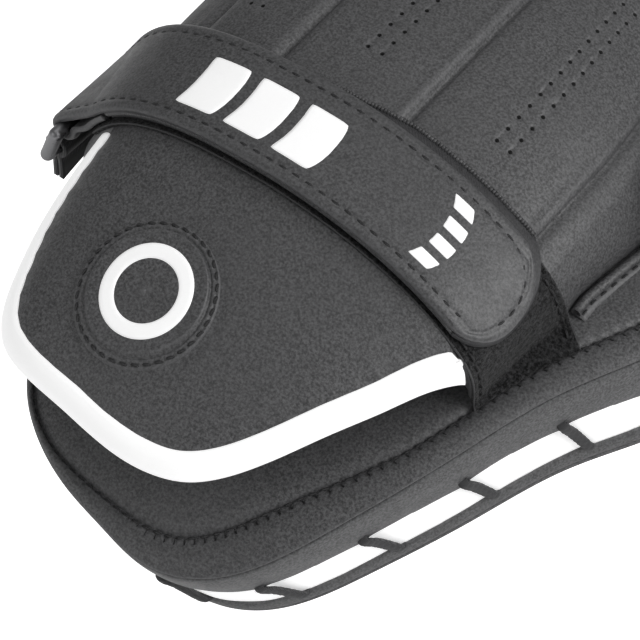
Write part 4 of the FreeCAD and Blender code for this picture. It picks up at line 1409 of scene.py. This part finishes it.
def strap_backing():
    """Strip under the leather, a little wider on the finger side, with ribbed edges."""
    steps = 420
    across = np.linspace(-1, 1, 25)
    phi = np.linspace(150 * DEG, 3 * DEG, 1500)

    def surface(out):
        x = hood(STRAP_Y, phi, out)[:, 0]
        # the finger side edge runs in under the leather towards the ring
        high = np.interp(x, [-46, -20, 9, 25], [-44.2, -42.8, -40.6, -38.4])
        low = -72.4
        columns = []
        for v in across:
            line = hood((low + high) / 2 + v * (high - low) / 2, phi, out)
            line = line[(line[:, 0] <= tip_x(v * 0.98) - 0.6)
                        & ((line[:, 0] > 0) | (line[:, 2] > 101.0))]
            columns.append(resample(line, steps))
        return np.stack(columns, 1)

    top, under = surface(4.55), surface(3.15)
    normals = grid_normals(top)
    if not outward(top, STRAP_INSIDE):
        normals = -normals
    ribs = np.sin(np.arange(steps) * 2 * math.pi / 3.1)[:, None]
    top = top + normals * (0.16 * ribs * (np.abs(across)[None, :] > 0.9))[..., None]
    make("strap_backing_strip", slab(top, under, STRAP_INSIDE), BACKING,
         "strap_backing", body="strap")
    # rolled welts: finger side, then wrist side
    welts = [tube(top[:, k] - normals[:, k] * 0.35, normals[:, k], up_radius, side_radius, 8)
             for k, up_radius, side_radius in ((-1, 0.85, 0.8), (0, 0.8, 0.5))]
    make("strap_backing_welt", join(welts), STRAP_LEATHER, body="strap")


def hook_tape():
    """Hook strip under the thumb end of the strap."""
    steps, width_steps = 150, 40
    phi = np.linspace(78 * DEG, 3 * DEG, 900)

    def surface(out):
        columns = []
        for v in np.linspace(-13, 13, width_steps):
            line = hood(STRAP_Y + v, phi, out)
            line = line[(line[:, 0] >= 18) & (line[:, 0] <= tip_x(v / STRAP_HALF) - 4)]
            columns.append(resample(line, steps))
        return np.stack(columns, 1)

    top, under = surface(3.05), surface(2.15)
    under[..., 2] -= np.abs(0.2 * noise2(np.arange(steps)[:, None] * 0.9,
                                         np.arange(width_steps)[None, :] * 0.9, seed=121))
    make("hook_tape_pile", slab(top, under, STRAP_INSIDE), HOOK, "hook_tape",
         body="strap")


# printed bars: (start x, end x, centre across, half width)
BARS = ((-29, -17, -1.3, 8.4), (-13.5, -1.5, -1.3, 8.4), (2, 14, -1.3, 8.4),
        (46.4, 52.2, 8.4, 1.7), (46.4, 52.2, 2.8, 1.7), (46.4, 52.2, -2.8, 1.7),
        (46.4, 52.2, -8.4, 1.7))


def print_bar(x0, x1, centre, half):
    """Rounded bar of film following the strap."""
    middle = STRAP[:, MIDDLE]
    on_top = middle[:, 2] > 92
    u0, u1 = np.interp([x0, x1], middle[on_top, 0], STRAP_RUN[on_top])
    a, b = np.meshgrid(np.linspace(-1, 1, 14), np.linspace(-1, 1, 26), indexing="ij")
    u = (u0 + u1) / 2 + a * (1 - 0.06 * np.abs(b) ** 10) * (u1 - u0) / 2
    v = centre + b * (1 - 0.03 * np.abs(a) ** 8) * half
    points, normals = on_strap(u, v)
    height = strap_pillow(u, v)
    border = np.maximum(np.abs(a), np.abs(b)) > 0.99
    top = points + normals * (height + np.where(border, 0.02, 0.17))[..., None]
    under = points + normals * (height - 0.25)[..., None]
    return slab_facing(top, under, normals)


strap_face()
strap_thread()
strap_backing()
hook_tape()
make("strap_print_bars", join([print_bar(*bar) for bar in BARS]), PRINT,
     "strap_marks", body="strap")


def ring_tab():
    """Webbing folded round the ring's lower bar and running down to the back panel."""
    bar_x, bar_z, fold_r = -68.2, 76.5, 3.1
    steps, width_steps = 80, 34
    angle = np.linspace(-80, 260, 34) * DEG
    fold = np.stack([bar_x + fold_r * np.cos(angle), bar_z + fold_r * np.sin(angle)], 1)
    path = np.vstack([[(bar_x + 1.0, 62.0), (bar_x + 0.9, 66.0), (bar_x + 1.0, 70.0)], fold,
                      [(bar_x - 0.9, 70.0), (bar_x - 0.9, 66.0), (bar_x - 1.0, 62.0)]])
    path = resample(path, steps)
    relax(path, 6)
    tangent = np.gradient(path, axis=0)
    tangent /= np.linalg.norm(tangent, axis=1, keepdims=True)
    normals = np.stack([-tangent[:, 1], tangent[:, 0]], 1)
    top = steps // 2
    if normals[top] @ (path[top] - np.array([bar_x, bar_z])) < 0:
        normals = -normals
    y = np.linspace(-72.2, -39.8, width_steps)[None, :]

    def surface(out):
        line = path + normals * out
        return xyz(line[:, :1], y, np.maximum(line[:, 1:], pad_top(y)))

    outer, inner = surface(0.75), surface(-0.7)
    facing = grid_normals(outer)[top, width_steps // 2]
    if facing @ np.array([normals[top, 0], 0, normals[top, 1]]) < 0:
        outer, inner = outer[:, ::-1], inner[:, ::-1]
    make("ring_tab_webbing", shell(outer, inner), WEBBING, "ring_tab")


ring_tab()

# ---------------------------------------------------------------- carried-over CAD nodes
for node_name, node_material in (("front_impact_foam", FOAM), ("middle_foam", FOAM),
                                 ("rear_foam", FOAM), ("shock_sheet", GEL),
                                 ("strap_ring", METAL)):
    node_mesh = frame["nodes"][node_name].data
    node_mesh.materials.clear()
    node_mesh.materials.append(node_material)

# ---------------------------------------------------------------- stage, light, camera
FLOOR_Z = -0.3
FLOOR_GLOW = 0.20                 # floor emission that lights the pad
FLOOR_SEEN = 1.15                 # floor emission the camera sees


def studio_floor():
    steps = 41
    x, y = np.meshgrid(*[np.linspace(-4000, 4000, steps)] * 2, indexing="ij")
    mesh = bpy.data.meshes.new("studio_floor")
    mesh.from_pydata((xyz(x, y, FLOOR_Z).reshape(-1, 3) * MM).tolist(), [],
                     [tuple(int(i) for i in f) for f in quads(steps, steps)])
    material, tree, shader, coords = new_material("studio_paper")
    noise = texture(tree, "Noise", coords, Scale=60.0, Detail=3.0)
    gloss = map_range(tree, noise.outputs[0], (0.3, 0.7), (0.85, 0.95))
    tree.links.new(gloss, shader.inputs["Roughness"])
    shader.inputs["Base Color"].default_value = (0.93, 0.93, 0.93, 1)
    shader.inputs["Specular IOR Level"].default_value = 0.1
    shader.inputs["Emission Color"].default_value = (1, 1, 1, 1)
    rays = tree.nodes.new("ShaderNodeLightPath")
    glow = map_range(tree, rays.outputs["Is Camera Ray"], (0.0, 1.0), (FLOOR_GLOW, FLOOR_SEEN))
    tree.links.new(glow, shader.inputs["Emission Strength"])
    mesh.materials.append(material)
    obj = bpy.data.objects.new("studio_floor", mesh)
    bpy.context.scene.collection.objects.link(obj)


def area_light(name, place, size, power):
    """Rectangular light aimed at the pad, in metres and watts."""
    light = bpy.data.lights.new(name, "AREA")
    light.shape = "RECTANGLE"
    light.size, light.size_y = size
    light.energy = power
    obj = bpy.data.objects.new(name, light)
    bpy.context.scene.collection.objects.link(obj)
    obj.location = place
    aim = Vector((0, 0, 0.05)) - Vector(place)
    obj.rotation_euler = aim.to_track_quat("-Z", "Y").to_euler()


def world():
    studio = bpy.data.worlds.new("studio")
    bpy.context.scene.world = studio
    studio.use_nodes = True
    background = studio.node_tree.nodes["Background"]
    background.inputs["Color"].default_value = (1, 1, 1, 1)
    background.inputs["Strength"].default_value = 0.26


def camera():
    """Long lens looking down on the pad from the wrist end, thumb side."""
    turn, height, distance = math.radians(38.0), math.radians(49.0), 1000.0
    back = np.array([math.sin(turn) * math.cos(height), -math.cos(turn) * math.cos(height),
                     math.sin(height)])
    right = np.array([math.cos(turn), math.sin(turn), 0.0])
    up = np.cross(back, right)
    target = -28.3 * right - 14.5 * up + np.array([0, 0, 11.2])
    place = (target + distance * back) * MM
    data = bpy.data.cameras.new("camera")
    obj = bpy.data.objects.new("camera", data)
    bpy.context.scene.collection.objects.link(obj)
    rows = [(right[k], up[k], back[k], place[k]) for k in range(3)]
    obj.matrix_world = Matrix((*rows, (0, 0, 0, 1)))
    data.sensor_width = 36.0
    data.lens = 199.6875
    data.clip_end = 50.0
    bpy.context.scene.camera = obj


studio_floor()
area_light("key_light", (1.15, 0.25, 0.95), size=(0.9, 0.9), power=13.2)
area_light("top_light", (-0.1, 0.3, 1.6), size=(1.4, 1.4), power=3.8)
area_light("fill_light", (-0.6, -1.3, 0.7), size=(1.1, 0.8), power=2.6)
world()
camera()
bpy.context.scene.view_settings.view_transform = "Standard"
